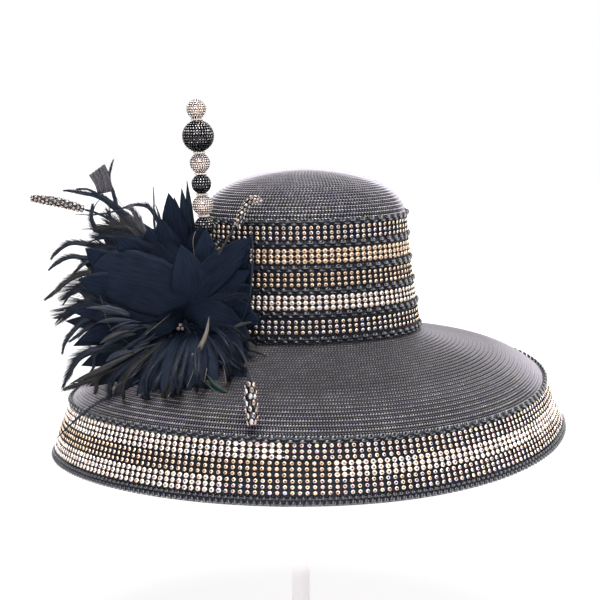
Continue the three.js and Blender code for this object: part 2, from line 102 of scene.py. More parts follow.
def row_half(height):
    """Half the crown's length at a height, going on in a straight line past the end rows."""
    low = (height - ROW_HEIGHTS[0]) * (ROW_HALVES[0] - ROW_HALVES[1]) / (ROW_HEIGHTS[0] - ROW_HEIGHTS[1])
    inside = np.interp(height, ROW_HEIGHTS, ROW_HALVES)
    return np.where(height < ROW_HEIGHTS[0], ROW_HALVES[0] + low, inside)


def on_crown(turn, height, proud):
    half = row_half(height)
    return around(turn, half + proud, half * ROUNDNESS + proud, height)


def on_dome(turn, angle, proud):
    """The dome is a quarter oval in section: angle runs from 0 at the brow to 90 at the top."""
    a = np.radians(angle)
    half = ROW_HALVES[-1] * np.cos(a)
    out = np.minimum(np.cos(a) * 1.2, 1)
    height = ROW_HEIGHTS[-1] + DOME_RISE * np.sin(a) + proud * np.sin(a)
    return around(turn, half + proud * out, half * ROUNDNESS + proud * out, height)


def on_brim(turn, along, proud):
    """along runs 0 to 1 from the opening to the fold, and 1 to 2 down the border."""
    top, border = np.minimum(along, 1), np.maximum(along - 1, 0)
    slope = FOLD_DROP * (EVEN_SLOPE + STEEPENING * (1 - EVEN_SLOPE) * top ** (STEEPENING - 1))
    flat = FOLD_RADIUS - OPENING_HALF
    turned = np.clip((along - FOLD_START) / FOLD_WIDTH, 0, 1)
    lean = np.arctan2(slope, flat) * (1 - turned) + math.atan2(BORDER_DROP, BORDER_SPREAD) * turned
    spread = BORDER_SPREAD * border + np.sin(lean) * proud
    half_x = OPENING_HALF + flat * top + spread
    opening_y = OPENING_HALF * ROUNDNESS
    half_y = opening_y + (FOLD_RADIUS - opening_y) * top + spread
    drop = FOLD_DROP * (EVEN_SLOPE * top + (1 - EVEN_SLOPE) * top**STEEPENING) + BORDER_DROP * border
    t = np.radians(turn)
    ease = top**1.5
    lift = (SIDE_LIFT[0] * ease + SIDE_LIFT[1] * border) * np.sin(t)
    dip = (FRONT_DIP[0] * ease + FRONT_DIP[1] * border) * np.cos(t)
    height = np.cos(lean) * proud - drop + lift - dip - SADDLE * ease * np.sin(2 * t)
    return around(turn, half_x, half_y, height)


def on_border(turn, down, proud):
    return on_brim(turn, 1 + down / BORDER_LENGTH, proud)


def unit(v):
    return v / np.maximum(np.linalg.norm(v, axis=-1, keepdims=True), 1e-12)


def seats(place, turns, stations, proud):
    """Where small things sit on a surface: their places, and their axes along the row, up and outward."""
    step = 0.2
    at = on_stand(place(turns, stations, proud))
    ahead = on_stand(place(turns + step, stations, proud)) - on_stand(place(turns - step, stations, proud))
    along = unit(ahead)
    rough_out = on_stand(place(turns, stations, proud + 1)) - at
    up = unit(np.cross(rough_out, along))
    out = unit(np.cross(along, up))
    return at, np.stack([along, up, out], -2)


def run_along(points):
    """How far along a line of points each one lies."""
    return np.concatenate([[0], np.cumsum(np.linalg.norm(np.diff(points, axis=0), axis=1))])


# Shapes as plain arrays, so that many copies are joined into one mesh
Shape = namedtuple("Shape", "points loops totals finishes smooth facing")


def shape_of(bm, smooth=False):
    bm.verts.index_update()
    bm.normal_update()
    points = np.array([v.co for v in bm.verts])
    loops = np.array([v.index for f in bm.faces for v in f.verts])
    totals = np.array([len(f.verts) for f in bm.faces])
    finishes = np.array([f.material_index for f in bm.faces])
    facing = np.array([f.normal for f in bm.faces])
    bm.free()
    return Shape(points, loops, totals, finishes, np.full(len(totals), smooth), facing)


def grid(columns, rows, smooth=True):
    """A sheet whose points hold their column and row numbers."""
    bm = bmesh.new()
    bmesh.ops.create_grid(bm, x_segments=columns, y_segments=rows, size=0.5)
    for v in bm.verts:
        v.co = (round((v.co.x + 0.5) * columns), round((v.co.y + 0.5) * rows), 0)
    return shape_of(bm, smooth)


def numbers(sheet):
    """The column and row number of each point of a sheet."""
    return sheet.points[:, 0].astype(int), sheet.points[:, 1].astype(int)


def first_points(sheet):
    """The first point of each face."""
    return sheet.loops[np.concatenate([[0], np.cumsum(sheet.totals)[:-1]])]


def cone_part(bm, sides, low, high, bottom, top, finish):
    """A capped cone between two heights, whose faces take one finish."""
    made = bmesh.ops.create_cone(
        bm, cap_ends=True, segments=sides, radius1=low, radius2=high, depth=top - bottom
    )
    bmesh.ops.translate(bm, verts=made["verts"], vec=(0, 0, (top + bottom) / 2))
    for face in {f for v in made["verts"] for f in v.link_faces}:
        face.material_index = finish
    return made["verts"]


# A set stone, in millimetres from where it is set: its cup, the cup's dish and the stone's widest line
CUP_FOOT = -0.9
CUP_RIM = 0.5
CUP_DISH = 0.35
GIRDLE = 0.2
LINK_THICK = 0.4

# Shares of a stone's radius: its flat top and how high it is cut
TABLE = 0.5
STONE_RISE = 0.46
LONG_STONE_RISE = 0.7


def set_stone(radius, cup_radius, sides=8, link=0.0):
    """A cut stone standing in a cup, with a link to the next cup where link is a length. Finish 0 is stone
    and 1 is cup."""
    bm = bmesh.new()
    cone_part(bm, sides, cup_radius * 0.8, cup_radius, CUP_FOOT, CUP_RIM, 1)
    rim = [f for f in bm.faces if f.normal.z > 0.9]
    bmesh.ops.inset_region(bm, faces=rim, thickness=cup_radius - radius * 0.96, depth=0)
    bmesh.ops.translate(bm, verts=rim[0].verts[:], vec=(0, 0, -CUP_DISH))
    cone_part(bm, sides, radius, radius * TABLE, GIRDLE, GIRDLE + radius * STONE_RISE, 0)
    if link:
        bar = bmesh.ops.create_cube(bm, size=1)["verts"]
        bmesh.ops.scale(bm, verts=bar, vec=(link, LINK_THICK, LINK_THICK))
        bmesh.ops.translate(bm, verts=bar, vec=(link / 2, 0, 0))
        for face in {f for v in bar for f in v.link_faces}:
            face.material_index = 1
    return shape_of(bm)


def long_stone(radius, length):
    """A pointed stone longer than it is wide, lying along X on a dark foot."""
    bm = bmesh.new()
    stone = cone_part(bm, 8, radius, radius * TABLE, 0, radius * LONG_STONE_RISE, 0)
    foot = cone_part(bm, 8, radius * 0.9, radius * 1.12, -0.5, 0.12, 1)
    bmesh.ops.scale(bm, verts=stone + foot, vec=(length / radius / 2, 1, 1))
    return shape_of(bm)


def round_bead(length, height, depth=None, sides=8):
    """A bead with its hole along X. Seed beads lie flat, so that each shows one broad highlight."""
    bm = bmesh.new()
    bmesh.ops.create_uvsphere(bm, u_segments=sides, v_segments=sides * 3 // 4, radius=0.5)
    bmesh.ops.rotate(bm, verts=bm.verts, cent=(0, 0, 0), matrix=Matrix.Rotation(math.pi / 2, 3, "Y"))
    bmesh.ops.scale(bm, verts=bm.verts, vec=(length, height, depth or height))
    return shape_of(bm, smooth=True)


class Heap:
    """Shapes gathered into one mesh, each corner with its own pattern place and tint."""

    def __init__(self):
        self.parts = []
        self.count = 0

    def add(self, shape, points, pattern=None, tint=(1, 1, 1), finish=None):
        """points is one set of places for the shape's points, or one set for each copy."""
        n = len(shape.points)
        points = np.asarray(points, float).reshape(-1, n, 3)
        copies = len(points)
        faces, corners = len(shape.totals), len(shape.loops)
        loops = shape.loops + (self.count + n * np.arange(copies))[:, None]
        if pattern is None:
            pattern = np.zeros((copies, n, 2))
        pattern = np.broadcast_to(pattern, (copies, n, 2))[:, shape.loops]
        tint = np.broadcast_to(tint, (copies, faces, 3))
        tint = np.repeat(tint, shape.totals, axis=1)
        finishes = shape.finishes if finish is None else np.full(faces, finish)
        self.parts.append((
            points.reshape(-1, 3),
            loops.reshape(-1),
            np.tile(shape.totals, copies),
            np.tile(finishes, copies),
            np.tile(shape.smooth, copies),
            pattern.reshape(copies * corners, 2),
            tint.reshape(copies * corners, 3),
        ))
        self.count += n * copies

    def copies(self, shape, at, axes, size=1.0, tint=(1, 1, 1), finish=None):
        """Copies of a shape in millimetres: at and axes say where each stands and which way it faces."""
        size = np.broadcast_to(size, (len(at),))[:, None, None]
        points = at[:, None] + MM * size * np.einsum("vk,nkj->nvj", shape.points, axes)
        self.add(shape, points, tint=tint, finish=finish)

    def piece(self, name, finishes, body="root", slot=None, replaces=()):
        points, loops, totals, finish, smooth, pattern, tint = (
            np.concatenate(column) for column in zip(*self.parts)
        )
        mesh = bpy.data.meshes.new(name)
        mesh.vertices.add(len(points))
        mesh.vertices.foreach_set("co", points.ravel())
        mesh.loops.add(len(loops))
        mesh.loops.foreach_set("vertex_index", loops.astype(np.int32))
        mesh.polygons.add(len(totals))
        starts = np.concatenate([[0], np.cumsum(totals)[:-1]])
        mesh.polygons.foreach_set("loop_start", starts.astype(np.int32))
        mesh.polygons.foreach_set("loop_total", totals.astype(np.int32))
        mesh.update(calc_edges=True)
        mesh.polygons.foreach_set("material_index", finish.astype(np.int32))
        mesh.polygons.foreach_set("use_smooth", smooth)
        layer = mesh.uv_layers.new(name="Pattern")
        layer.data.foreach_set("uv", pattern.astype(np.float32).ravel())
        tints = mesh.color_attributes.new("Tint", "FLOAT_COLOR", "CORNER")
        rgba = np.concatenate([tint, np.ones((len(tint), 1))], 1)
        tints.data.foreach_set("color", rgba.astype(np.float32).ravel())
        bm = bmesh.new()
        bm.from_mesh(mesh)
        bmesh.ops.remove_doubles(bm, verts=bm.verts, dist=1e-6)
        bmesh.ops.recalc_face_normals(bm, faces=bm.faces)
        bm.to_mesh(mesh)
        bm.free()
        for material in finishes:
            mesh.materials.append(material)
        made = bpy.data.objects.new(name, mesh)
        bpy.context.scene.collection.objects.link(made)
        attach(made, body)
        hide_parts(*replaces)


# Shader building
def node(tree, kind, inputs=None, **settings):
    """A shader node with its settings, and a value or a link at each input that is given."""
    made = tree.nodes.new(kind)
    for name, value in settings.items():
        setattr(made, name, value)
    for key, value in (inputs or {}).items():
        if isinstance(value, bpy.types.NodeSocket):
            tree.links.new(value, made.inputs[key])
        else:
            made.inputs[key].default_value = value
    return made


def math_node(tree, operation, *values):
    return node(tree, "ShaderNodeMath", dict(enumerate(values)), operation=operation).outputs[0]


def multiply(tree, first, second):
    return math_node(tree, "MULTIPLY", first, second)


def scaled(tree, value, times, plus):
    return math_node(tree, "MULTIPLY_ADD", value, times, plus)


def ramp(tree, value, start, end, low, high):
    """A number that runs from low to high while the value runs from start to end, and is level outside."""
    return node(tree, "ShaderNodeMapRange", {0: value, 1: start, 2: end, 3: low, 4: high}).outputs[0]


def wave(tree, count, kind="SINE"):
    """One whole wave for each unit of the count."""
    return math_node(tree, kind, multiply(tree, count, 2 * math.pi))


def noise(tree, vector, scale, detail):
    inputs = {"Vector": vector, "Scale": scale, "Detail": detail}
    return node(tree, "ShaderNodeTexNoise", inputs).outputs[0]


def mix_colour(tree, share, low, high):
    low, high = (value if isinstance(value, bpy.types.NodeSocket) else (*value, 1) for value in (low, high))
    return node(tree, "ShaderNodeMix", {0: share, 6: low, 7: high}, data_type="RGBA").outputs[2]


def new_group(name, inputs, outputs):
    """A shader node group with named number, colour or vector inputs and outputs."""
    tree = bpy.data.node_groups.new(name, "ShaderNodeTree")
    kinds = {"number": "NodeSocketFloat", "colour": "NodeSocketColor", "vector": "NodeSocketVector"}
    for label, kind in inputs.items():
        tree.interface.new_socket(label, in_out="INPUT", socket_type=kinds[kind])
    for label, kind in outputs.items():
        tree.interface.new_socket(label, in_out="OUTPUT", socket_type=kinds[kind])
    return tree, tree.nodes.new("NodeGroupInput").outputs, tree.nodes.new("NodeGroupOutput").inputs


# Patterns: stitches slant across their strip, net and barbs are in millimetres, and streaks are drawn out
# along a feather
STITCH_SLANT = 1.3
STITCH_SHARPNESS = 4.0
NET_PITCH = 1.45
NET_SHARPNESS = 6.0
BARB_LINES = 0.9
BARB_SLANT = 1.6
STREAK_STRETCH = (0.9, 0.07, 1.0)


def grain_group():
    """Fine uneven grain: a mask for tone, one for roughness and a height."""
    tree, given, out = new_group(
        "grain",
        {"Place": "vector", "Scale": "number"},
        {"Tone": "number", "Wear": "number", "Height": "number"},
    )
    fine = noise(tree, given["Place"], given["Scale"], 3.0)
    broad = noise(tree, given["Place"], multiply(tree, given["Scale"], 0.12), 2.0)
    tree.links.new(broad, out["Tone"])
    tree.links.new(fine, out["Wear"])
    tree.links.new(math_node(tree, "ADD", fine, broad), out["Height"])
    return tree


def plait_group():
    """Sewn strips of plait, each with two rows of stitches. U counts stitches along, and V strips across."""
    tree, given, out = new_group(
        "plait", {"Pattern": "vector"}, {"Crest": "number", "Stitch": "number", "Hue": "number"}
    )
    along, down, _ = node(tree, "ShaderNodeSeparateXYZ", {0: given["Pattern"]}).outputs
    across = math_node(tree, "FRACT", down)
    rows = math_node(tree, "POWER", math_node(tree, "ABSOLUTE", wave(tree, across)), 2.0)
    # The row under the next strip's edge lies in its shade
    outer = ramp(tree, across, 0.4, 0.6, 0.3, 1.0)
    off_middle = math_node(tree, "ABSOLUTE", math_node(tree, "SUBTRACT", across, 0.5))
    slant = math_node(tree, "ADD", along, multiply(tree, off_middle, STITCH_SLANT))
    stitch = math_node(tree, "POWER", scaled(tree, wave(tree, slant), 0.5, 0.5), STITCH_SHARPNESS)
    whole = node(tree, "ShaderNodeVectorMath", {0: given["Pattern"]}, operation="FLOOR").outputs[0]
    hue = node(tree, "ShaderNodeTexWhiteNoise", {"Vector": whole}, noise_dimensions="2D").outputs[0]
    tree.links.new(multiply(tree, rows, outer), out["Crest"])
    tree.links.new(stitch, out["Stitch"])
    tree.links.new(hue, out["Hue"])
    return tree


def net_group():
    """A fine square net. U and V are in millimetres."""
    tree, given, out = new_group("net", {"Pattern": "vector", "Pitch": "number"}, {"Line": "number"})
    parts = node(tree, "ShaderNodeSeparateXYZ", {0: given["Pattern"]}).outputs
    lines = []
    for axis in (0, 1):
        count = math_node(tree, "DIVIDE", parts[axis], given["Pitch"])
        threads = scaled(tree, wave(tree, count, "COSINE"), 0.5, 0.5)
        lines.append(math_node(tree, "POWER", threads, NET_SHARPNESS))
    tree.links.new(math_node(tree, "MAXIMUM", *lines), out["Line"])
    return tree


def barb_group():
    """Fine lines that slant from a feather's shaft, and longer streaks along it. U is millimetres across and
    V millimetres along."""
    tree, given, out = new_group(
        "barbs",
        {"Pattern": "vector", "Pitch": "number"},
        {"Line": "number", "Streak": "number", "Height": "number"},
    )
    place = given["Pattern"]
    across, along, _ = node(tree, "ShaderNodeSeparateXYZ", {0: place}).outputs
    swept = scaled(tree, math_node(tree, "ABSOLUTE", across), -BARB_SLANT, along)
    bent = scaled(tree, noise(tree, place, 0.25, 2.0), 3.0, swept)
    fibres = wave(tree, math_node(tree, "DIVIDE", bent, given["Pitch"]))
    drawn = node(tree, "ShaderNodeVectorMath", {0: place, 1: STREAK_STRETCH}, operation="MULTIPLY").outputs[0]
    tree.links.new(scaled(tree, fibres, 0.5, 0.5), out["Line"])
    tree.links.new(math_node(tree, "ADD", fibres, noise(tree, place, 0.6, 3.0)), out["Height"])
    tree.links.new(ramp(tree, noise(tree, drawn, 1.0, 3.0), 0.35, 0.65, 0.0, 1.0), out["Streak"])
    return tree


GRAIN = grain_group()
PLAIT = plait_group()
NET_LINES = net_group()
BARBS = barb_group()


def use_group(tree, group, inputs):
    return node(tree, "ShaderNodeGroup", inputs, node_tree=group).outputs


def new_material(name, **values):
    """A material with one Principled shader, whose plain values are set on its own sockets."""
    material = bpy.data.materials.new(name)
    material.use_nodes = True
    tree = material.node_tree
    shader = tree.nodes["Principled BSDF"]
    for key, value in values.items():
        shader.inputs[key.replace("_", " ")].default_value = value
    return material, tree, shader


def feed(shader, **sockets):
    """Links a changing value to each named input of the shader."""
    for key, socket in sockets.items():
        shader.id_data.links.new(socket, shader.inputs[key.replace("_", " ")])


def object_place(tree):
    return node(tree, "ShaderNodeTexCoord").outputs["Object"]


def pattern_place(tree):
    return node(tree, "ShaderNodeUVMap", uv_map="Pattern").outputs[0]


def tint_of(tree):
    return node(tree, "ShaderNodeVertexColor", layer_name="Tint").outputs[0]


def grain_of(tree, scale):
    return use_group(tree, GRAIN, {"Place": object_place(tree), "Scale": scale})


def bump(tree, height, strength, distance):
    inputs = {"Height": height, "Strength": strength, "Distance": distance}
    return node(tree, "ShaderNodeBump", inputs).outputs[0]


# Braid: where each stitch tone starts, as a share of all stitches, and the tone: grey, lilac, olive and pale.
# The tones are painted highlights on the stitch crests
STITCH_TONES = (
    (0.0, (0.36, 0.35, 0.37)),
    (0.35, (0.34, 0.29, 0.42)),
    (0.55, (0.38, 0.36, 0.29)),
    (0.75, (0.62, 0.58, 0.61)),
)
SHADED_THREAD = (0.002, 0.002, 0.004)
LOW_SHEEN = (0.19, 0.172, 0.2)


def braid_material():
    """Shiny black synthetic braid: painted highlights in grey, lilac, olive and pale tones on the stitch
    crests, and painted shade in the valleys between strips.
    """
    material, tree, shader = new_material("braid")
    plait = use_group(tree, PLAIT, {"Pattern": pattern_place(tree)})
    grain = grain_of(tree, 260.0)
    tones = node(tree, "ShaderNodeValToRGB", {0: plait["Hue"]})
    tones.color_ramp.interpolation = "CONSTANT"
    for place, tone in STITCH_TONES[2:]:
        tones.color_ramp.elements.new(place)
    for element, (place, tone) in zip(tones.color_ramp.elements, STITCH_TONES):
        element.position = place
        element.color = (*tone, 1)
    low = node(tree, "ShaderNodeLayerWeight", {0: 0.5}).outputs["Facing"]
    closed = ramp(tree, low, 0.6, 0.9, 0.05, 0.4)
    # Painted light: the crests' stitches are painted as highlights and the valleys as shade, then varied by
    # the grain's tone
    painted_crest_light = multiply(tree, plait["Crest"], scaled(tree, plait["Stitch"], 0.92, closed))
    painted_light_and_wear = multiply(tree, painted_crest_light, scaled(tree, grain["Tone"], 0.7, 0.6))
    thread = mix_colour(tree, painted_light_and_wear, SHADED_THREAD, tones.outputs[0])
    # Painted sheen: seen at a low angle the threads close up, and their colour is mixed towards a pale lilac
    # grey
    colour = mix_colour(tree, ramp(tree, low, 0.64, 0.8, 0.0, 0.85), thread, LOW_SHEEN)
    # The tint is painted light: one factor on colour and gloss for each station of the crown and brim
    shine = tint_of(tree)
    height = multiply(tree, plait["Crest"], scaled(tree, plait["Stitch"], 0.6, 0.4))
    feed(
        shader,
        Base_Color=node(tree, "ShaderNodeVectorMath", {0: colour, 1: shine}, operation="MULTIPLY").outputs[0],
        Specular_IOR_Level=scaled(tree, multiply(tree, painted_crest_light, shine), 0.9, 0.012),
        Roughness=scaled(tree, grain["Wear"], 0.2, 0.28),
        Normal=bump(tree, height, 0.9, 0.0008),
    )
    return material


def net_material():
    """Black plastic net that the stones are set on."""
    material, tree, shader = new_material("black_net", Specular_IOR_Level=0.12)
    line = use_group(tree, NET_LINES, {"Pattern": pattern_place(tree), "Pitch": NET_PITCH})["Line"]
    feed(
        shader,
        Base_Color=mix_colour(tree, line, (0.002, 0.0024, 0.0045), (0.009, 0.009, 0.0135)),
        Roughness=scaled(tree, grain_of(tree, 420.0)["Wear"], 0.3, 0.25),
        Normal=bump(tree, line, 0.6, 0.0004),
    )
    return material


def jet_material():
    """Polished black bead glass with a bright fired surface."""
    material, tree, shader = new_material("jet", IOR=1.65, Specular_IOR_Level=0.65)
    grain = grain_of(tree, 300.0)
    feed(
        shader,
        Base_Color=mix_colour(tree, grain["Tone"], (0.002, 0.003, 0.006), (0.005, 0.007, 0.012)),
        Roughness=scaled(tree, grain["Wear"], 0.06, 0.02),
    )
    return material


def stone_material():
    """Foil-backed stone: every facet has its own tint."""
    material, tree, shader = new_material("cut_stone", Metallic=0.5, Specular_IOR_Level=0.8)
    tint = tint_of(tree)
    grain = grain_of(tree, 900.0)
    dim = mix_colour(tree, grain["Wear"], (0.74, 0.73, 0.74), (0.94, 0.93, 0.92))
    inputs = {0: 1.0, 6: tint, 7: dim}
    colour = node(tree, "ShaderNodeMix", inputs, data_type="RGBA", blend_type="MULTIPLY").outputs[2]
    # Dark hearts are glossy and pale sides are softer, so that they glow all round
    soft = ramp(tree, node(tree, "ShaderNodeRGBToBW", {0: tint}).outputs[0], 0.15, 0.5, 0.0, 0.34)
    rough = math_node(tree, "ADD", soft, scaled(tree, grain["Wear"], 0.16, 0.03))
    feed(shader, Base_Color=colour, Roughness=rough)
    return material


def metal_material(name, low, high):
    """Plating of the stones' cups, between two tones."""
    material, tree, shader = new_material(name, Metallic=1.0)
    grain = grain_of(tree, 500.0)
    colour = mix_colour(tree, grain["Tone"], low, high)
    feed(shader, Base_Color=colour, Roughness=scaled(tree, grain["Wear"], 0.3, 0.1))
    return material


def feather_material(name, shine, smoothest):
    """Dyed feather, its dye given by the tint: fine barbs in lines from the shaft, lighter in places."""
    material, tree, shader = new_material(name, Specular_IOR_Level=shine)
    fibres = use_group(tree, BARBS, {"Pattern": pattern_place(tree), "Pitch": BARB_LINES})
    grain = grain_of(tree, 150.0)
    fine = scaled(tree, multiply(tree, fibres["Line"], grain["Tone"]), 0.8, 0.3)
    inputs = {0: tint_of(tree), "Scale": scaled(tree, fibres["Streak"], 0.7, fine)}
    feed(
        shader,
        Base_Color=node(tree, "ShaderNodeVectorMath", inputs, operation="SCALE").outputs[0],
        Roughness=scaled(tree, grain["Wear"], 0.25, smoothest),
        Normal=bump(tree, fibres["Height"], 0.4, 0.0003),
    )
    return material


def wire_material():
    """Black wire wrapped with thread."""
    material, tree, shader = new_material("wrapped_wire", Roughness=0.6, Specular_IOR_Level=0.15)
    inputs = {"Vector": pattern_place(tree), "Scale": 1.2}
    wrap = node(tree, "ShaderNodeTexWave", inputs, bands_direction="Y").outputs[1]
    feed(
        shader,
        Base_Color=mix_colour(tree, wrap, (0.004, 0.004, 0.005), (0.02, 0.02, 0.024)),
        Normal=bump(tree, wrap, 0.6, 0.0003),
    )
    return material


def acrylic_material():
    """Clear cast acrylic with faint handling marks."""
    material, tree, shader = new_material(
        "clear_acrylic", Transmission_Weight=1.0, IOR=1.49, Base_Color=(0.93, 0.905, 0.915, 1)
    )
    grain = grain_of(tree, 60.0)
    feed(
        shader,
        Roughness=multiply(tree, grain["Tone"], 0.05),
        Normal=bump(tree, grain["Height"], 0.03, 0.0005),
    )
    return material


# The floor's own light: by the stand's foot, far off, and the share of it seen through the clear stand
NEAR_LIGHT = 0.78
FAR_LIGHT = 1.0
LIGHT_THROUGH = 0.78


def floor_material():
    """Pale table top. To the camera it is nearly one white, as in a bright studio, by a light of its own that
    neither falls on the hat nor is mirrored in it."""
    material, tree, shader = new_material("pale_floor", Roughness=0.6, Emission_Color=(1, 0.985, 0.99, 1))
    colour = mix_colour(tree, grain_of(tree, 6.0)["Tone"], (0.6, 0.59, 0.595), (0.64, 0.63, 0.635))
    path = node(tree, "ShaderNodeLightPath").outputs
    through = multiply(tree, path["Is Transmission Ray"], LIGHT_THROUGH)
    seen = math_node(tree, "MAXIMUM", path["Is Camera Ray"], through)
    away = node(tree, "ShaderNodeVectorMath", {0: object_place(tree)}, operation="LENGTH").outputs["Value"]
    feed(
        shader,
        Base_Color=mix_colour(tree, multiply(tree, seen, 0.97), colour, (0, 0, 0)),
        Emission_Strength=multiply(tree, seen, ramp(tree, away, 0.2, 1.6, NEAR_LIGHT, FAR_LIGHT)),
    )
    return material


BRAID = braid_material()
NET = net_material()
JET = jet_material()
STONE = stone_material()
SILVER = metal_material("silver_cups", (0.26, 0.225, 0.2), (0.44, 0.39, 0.35))
BLACK_CUP = metal_material("black_cups", (0.02, 0.02, 0.024), (0.05, 0.05, 0.055))
FEATHER = feather_material("leaf_feather", 0.05, 0.55)
HACKLE = feather_material("hackle_feather", 0.22, 0.3)
WIRE = wire_material()
ACRYLIC = acrylic_material()
FLOOR = floor_material()


# Braid walls: closed shells whose outside has a ridge for each sewn strip
def ridge(share):
    """The rounded step of one strip over the next, as a share of its full height."""
    return np.sin(np.pi * share) ** 0.7 * (0.75 + 0.25 * share)


def shell(name, place, stations, prouds, strips, columns, shine, node_name):
    """A closed ring through the listed stations. strips counts the sewn strips, for the stitches, and shine
    is one number for each station: painted light, a factor on the braid's colour and gloss."""
    turns = np.linspace(-180, 180, columns + 1)
    sheet = grid(columns, len(stations) - 1)
    column, row = numbers(sheet)
    turn, station = turns[column], stations[row]
    points = on_stand(place(turn, station, prouds[row]))
    reach = np.linalg.norm(on_stand(place(np.zeros(len(stations)), stations, prouds))[:, :2], axis=1)
    stitches = np.round(2 * np.pi * reach / (STITCH * MM))
    strip = np.floor(strips + 1e-6)
    first = np.array([np.argmax(strip == s) for s in strip])
    along = (turn / 360 + 0.5) * stitches[first[row]] + STRIP_SHIFT * strip[row] % 1
    heap = Heap()
    tint = np.repeat(shine[row[first_points(sheet)]][:, None], 3, axis=1)
    heap.add(sheet, points, pattern=np.stack([along, strips[row]], 1), tint=tint)
    heap.piece(name, [BRAID], slot="straw_braid", replaces=[node_name])


def ridged(count):
    """Places along a run of strips: how far each lies along the run, which strip it is on, and its ridge."""
    strips = np.linspace(0, count, count * RIDGE_POINTS + 1)
    return strips / count, strips, RIDGE_HEIGHT * ridge(strips % 1)


# The plain inside keeps one row of points in three. Each strip's stitches start a share of a stitch further
# on than the last strip's
RIDGE_HEIGHT = 1.1
RIDGE_POINTS = 5
INNER_STEP = 3
STRIP_SHIFT = 0.618
CROWN_COLUMNS = 192
BRIM_COLUMNS = 224

# Strips over the dome and the brim, and the wall's rows of points from just above the seam. The wall's strips
# are counted from so far below the dome's first
DOME_STRIPS = 31
BRIM_STRIPS = 31
WALL_ROWS = 23
WALL_FOOT = 0.3
BELOW_DOME = 30

# Painted light: the crown's braid is painted brighter and glossier than the brim's, and the brim brighter
# towards the fold
CROWN_PAINTED_LIGHT = 1.45
BRIM_PAINTED_LIGHT = (0.45, 0.95)
PAINTED_LIGHT_FROM = 0.6


def crown_shell():
    """Wall and dome in one closed shell; the wall under the trim is plain."""
    share, strips, proud = ridged(DOME_STRIPS)
    # Strips keep their width up the dome, so the angles follow the section's length
    fine = np.radians(np.linspace(0, 90, 400))
    length = np.hypot(ROW_HALVES[-1] * np.sin(fine), DOME_RISE * np.cos(fine))
    run = np.concatenate([[0], np.cumsum((length[1:] + length[:-1]) / 2)])
    angles = np.degrees(np.interp(share * run[-1], run, fine))
    wall = np.linspace(WALL_FOOT, ROW_HEIGHTS[-1], WALL_ROWS + 1)[:-1]

    def place(turn, station, proud):
        up = station > ROW_HEIGHTS[-1]
        angle = np.where(up, station - ROW_HEIGHTS[-1], 0)
        low = np.minimum(station, ROW_HEIGHTS[-1])
        return np.where(up[:, None], on_dome(turn, angle, proud), on_crown(turn, low, proud))

    outside = np.concatenate([wall, ROW_HEIGHTS[-1] + angles])
    # The ridges fade towards the top of the dome, whose last point has none
    fading = proud * (1.1 - 0.95 * share) * (share < 0.999)
    lift = np.concatenate([np.zeros(len(wall)), fading])
    inside = outside[::-1][::INNER_STEP]
    stations = np.concatenate([outside, inside, outside[:1]])
    prouds = np.concatenate([lift, np.full(len(inside), -float(STRAW)), lift[:1]])
    counts = np.concatenate([wall / BRAID_PITCH - BELOW_DOME, strips])
    counts = np.concatenate([counts, counts[::-1][::INNER_STEP], counts[:1]])
    shine = np.full(len(stations), CROWN_PAINTED_LIGHT)
    shell("crown_braid", place, stations, prouds, counts, CROWN_COLUMNS, shine, "crown")


def inner_row(row):
    """The plain inside's share of a row of stations or counts, from the end back to the start."""
    kept = row[::-1][::INNER_STEP]
    return kept if kept[-1] == row[0] else np.append(kept, row[0])


def brim_shell():
    share, strips, proud = ridged(BRIM_STRIPS)
    border = np.linspace(1, 2, 10)[1:]
    over = np.concatenate([share, border])
    lift = np.concatenate([proud, np.zeros(len(border))])
    counts = np.concatenate([strips, BRIM_STRIPS + (border - 1) * BORDER_LENGTH / BRAID_PITCH])
    under = inner_row(over)
    stations = np.concatenate([over, under, over[:1]])
    prouds = np.concatenate([lift, np.full(len(under), -float(STRAW)), lift[:1]])
    counts = np.concatenate([counts, inner_row(counts), counts[:1]])
    shine = np.interp(stations, (PAINTED_LIGHT_FROM, 1.0), BRIM_PAINTED_LIGHT)
    shell("brim_braid", on_brim, stations, prouds, counts, BRIM_COLUMNS, shine, "brim")


# Rows of stones and beads. Each kind of stone has tints for its upper facets, its lower ones and its flat top
Tints = namedtuple("Tints", "upper lower heart")
IRIDESCENT = Tints(
    ((0.86, 1.0, 0.84), (1.0, 0.86, 0.54), (0.76, 0.93, 0.96), (1.0, 0.78, 0.56)),
    ((1.0, 0.5, 0.25), (0.75, 0.3, 0.42), (0.35, 0.4, 0.85), (0.9, 0.7, 0.3)),
    ((0.06, 0.04, 0.07), (0.22, 0.07, 0.08), (0.05, 0.05, 0.18), (0.3, 0.2, 0.1)),
)
CHAMPAGNE = Tints(
    ((0.95, 0.8, 0.62), (0.92, 0.72, 0.52)),
    ((0.7, 0.44, 0.26), (0.54, 0.35, 0.22)),
    ((0.2, 0.11, 0.06), (0.32, 0.19, 0.11)),
)
CLEAR = Tints(
    ((1.0, 0.95, 0.88), (1.0, 0.9, 0.78), (0.96, 0.97, 0.98)),
    ((0.9, 0.64, 0.42), (0.82, 0.56, 0.52), (0.58, 0.58, 0.8), (0.85, 0.7, 0.46)),
    ((0.4, 0.27, 0.2), (0.2, 0.16, 0.22), (0.5, 0.36, 0.26)),
)
WHITE = Tints(
    ((1.0, 0.98, 0.96), (1.0, 0.95, 0.88), (0.94, 0.98, 1.0)),
    ((1.0, 0.72, 0.5), (0.9, 0.7, 0.72), (0.66, 0.7, 0.95), (1.0, 0.84, 0.6)),
    ((0.95, 0.9, 0.85), (1.0, 0.95, 0.9), (0.5, 0.5, 0.8), (1.0, 0.6, 0.34)),
)
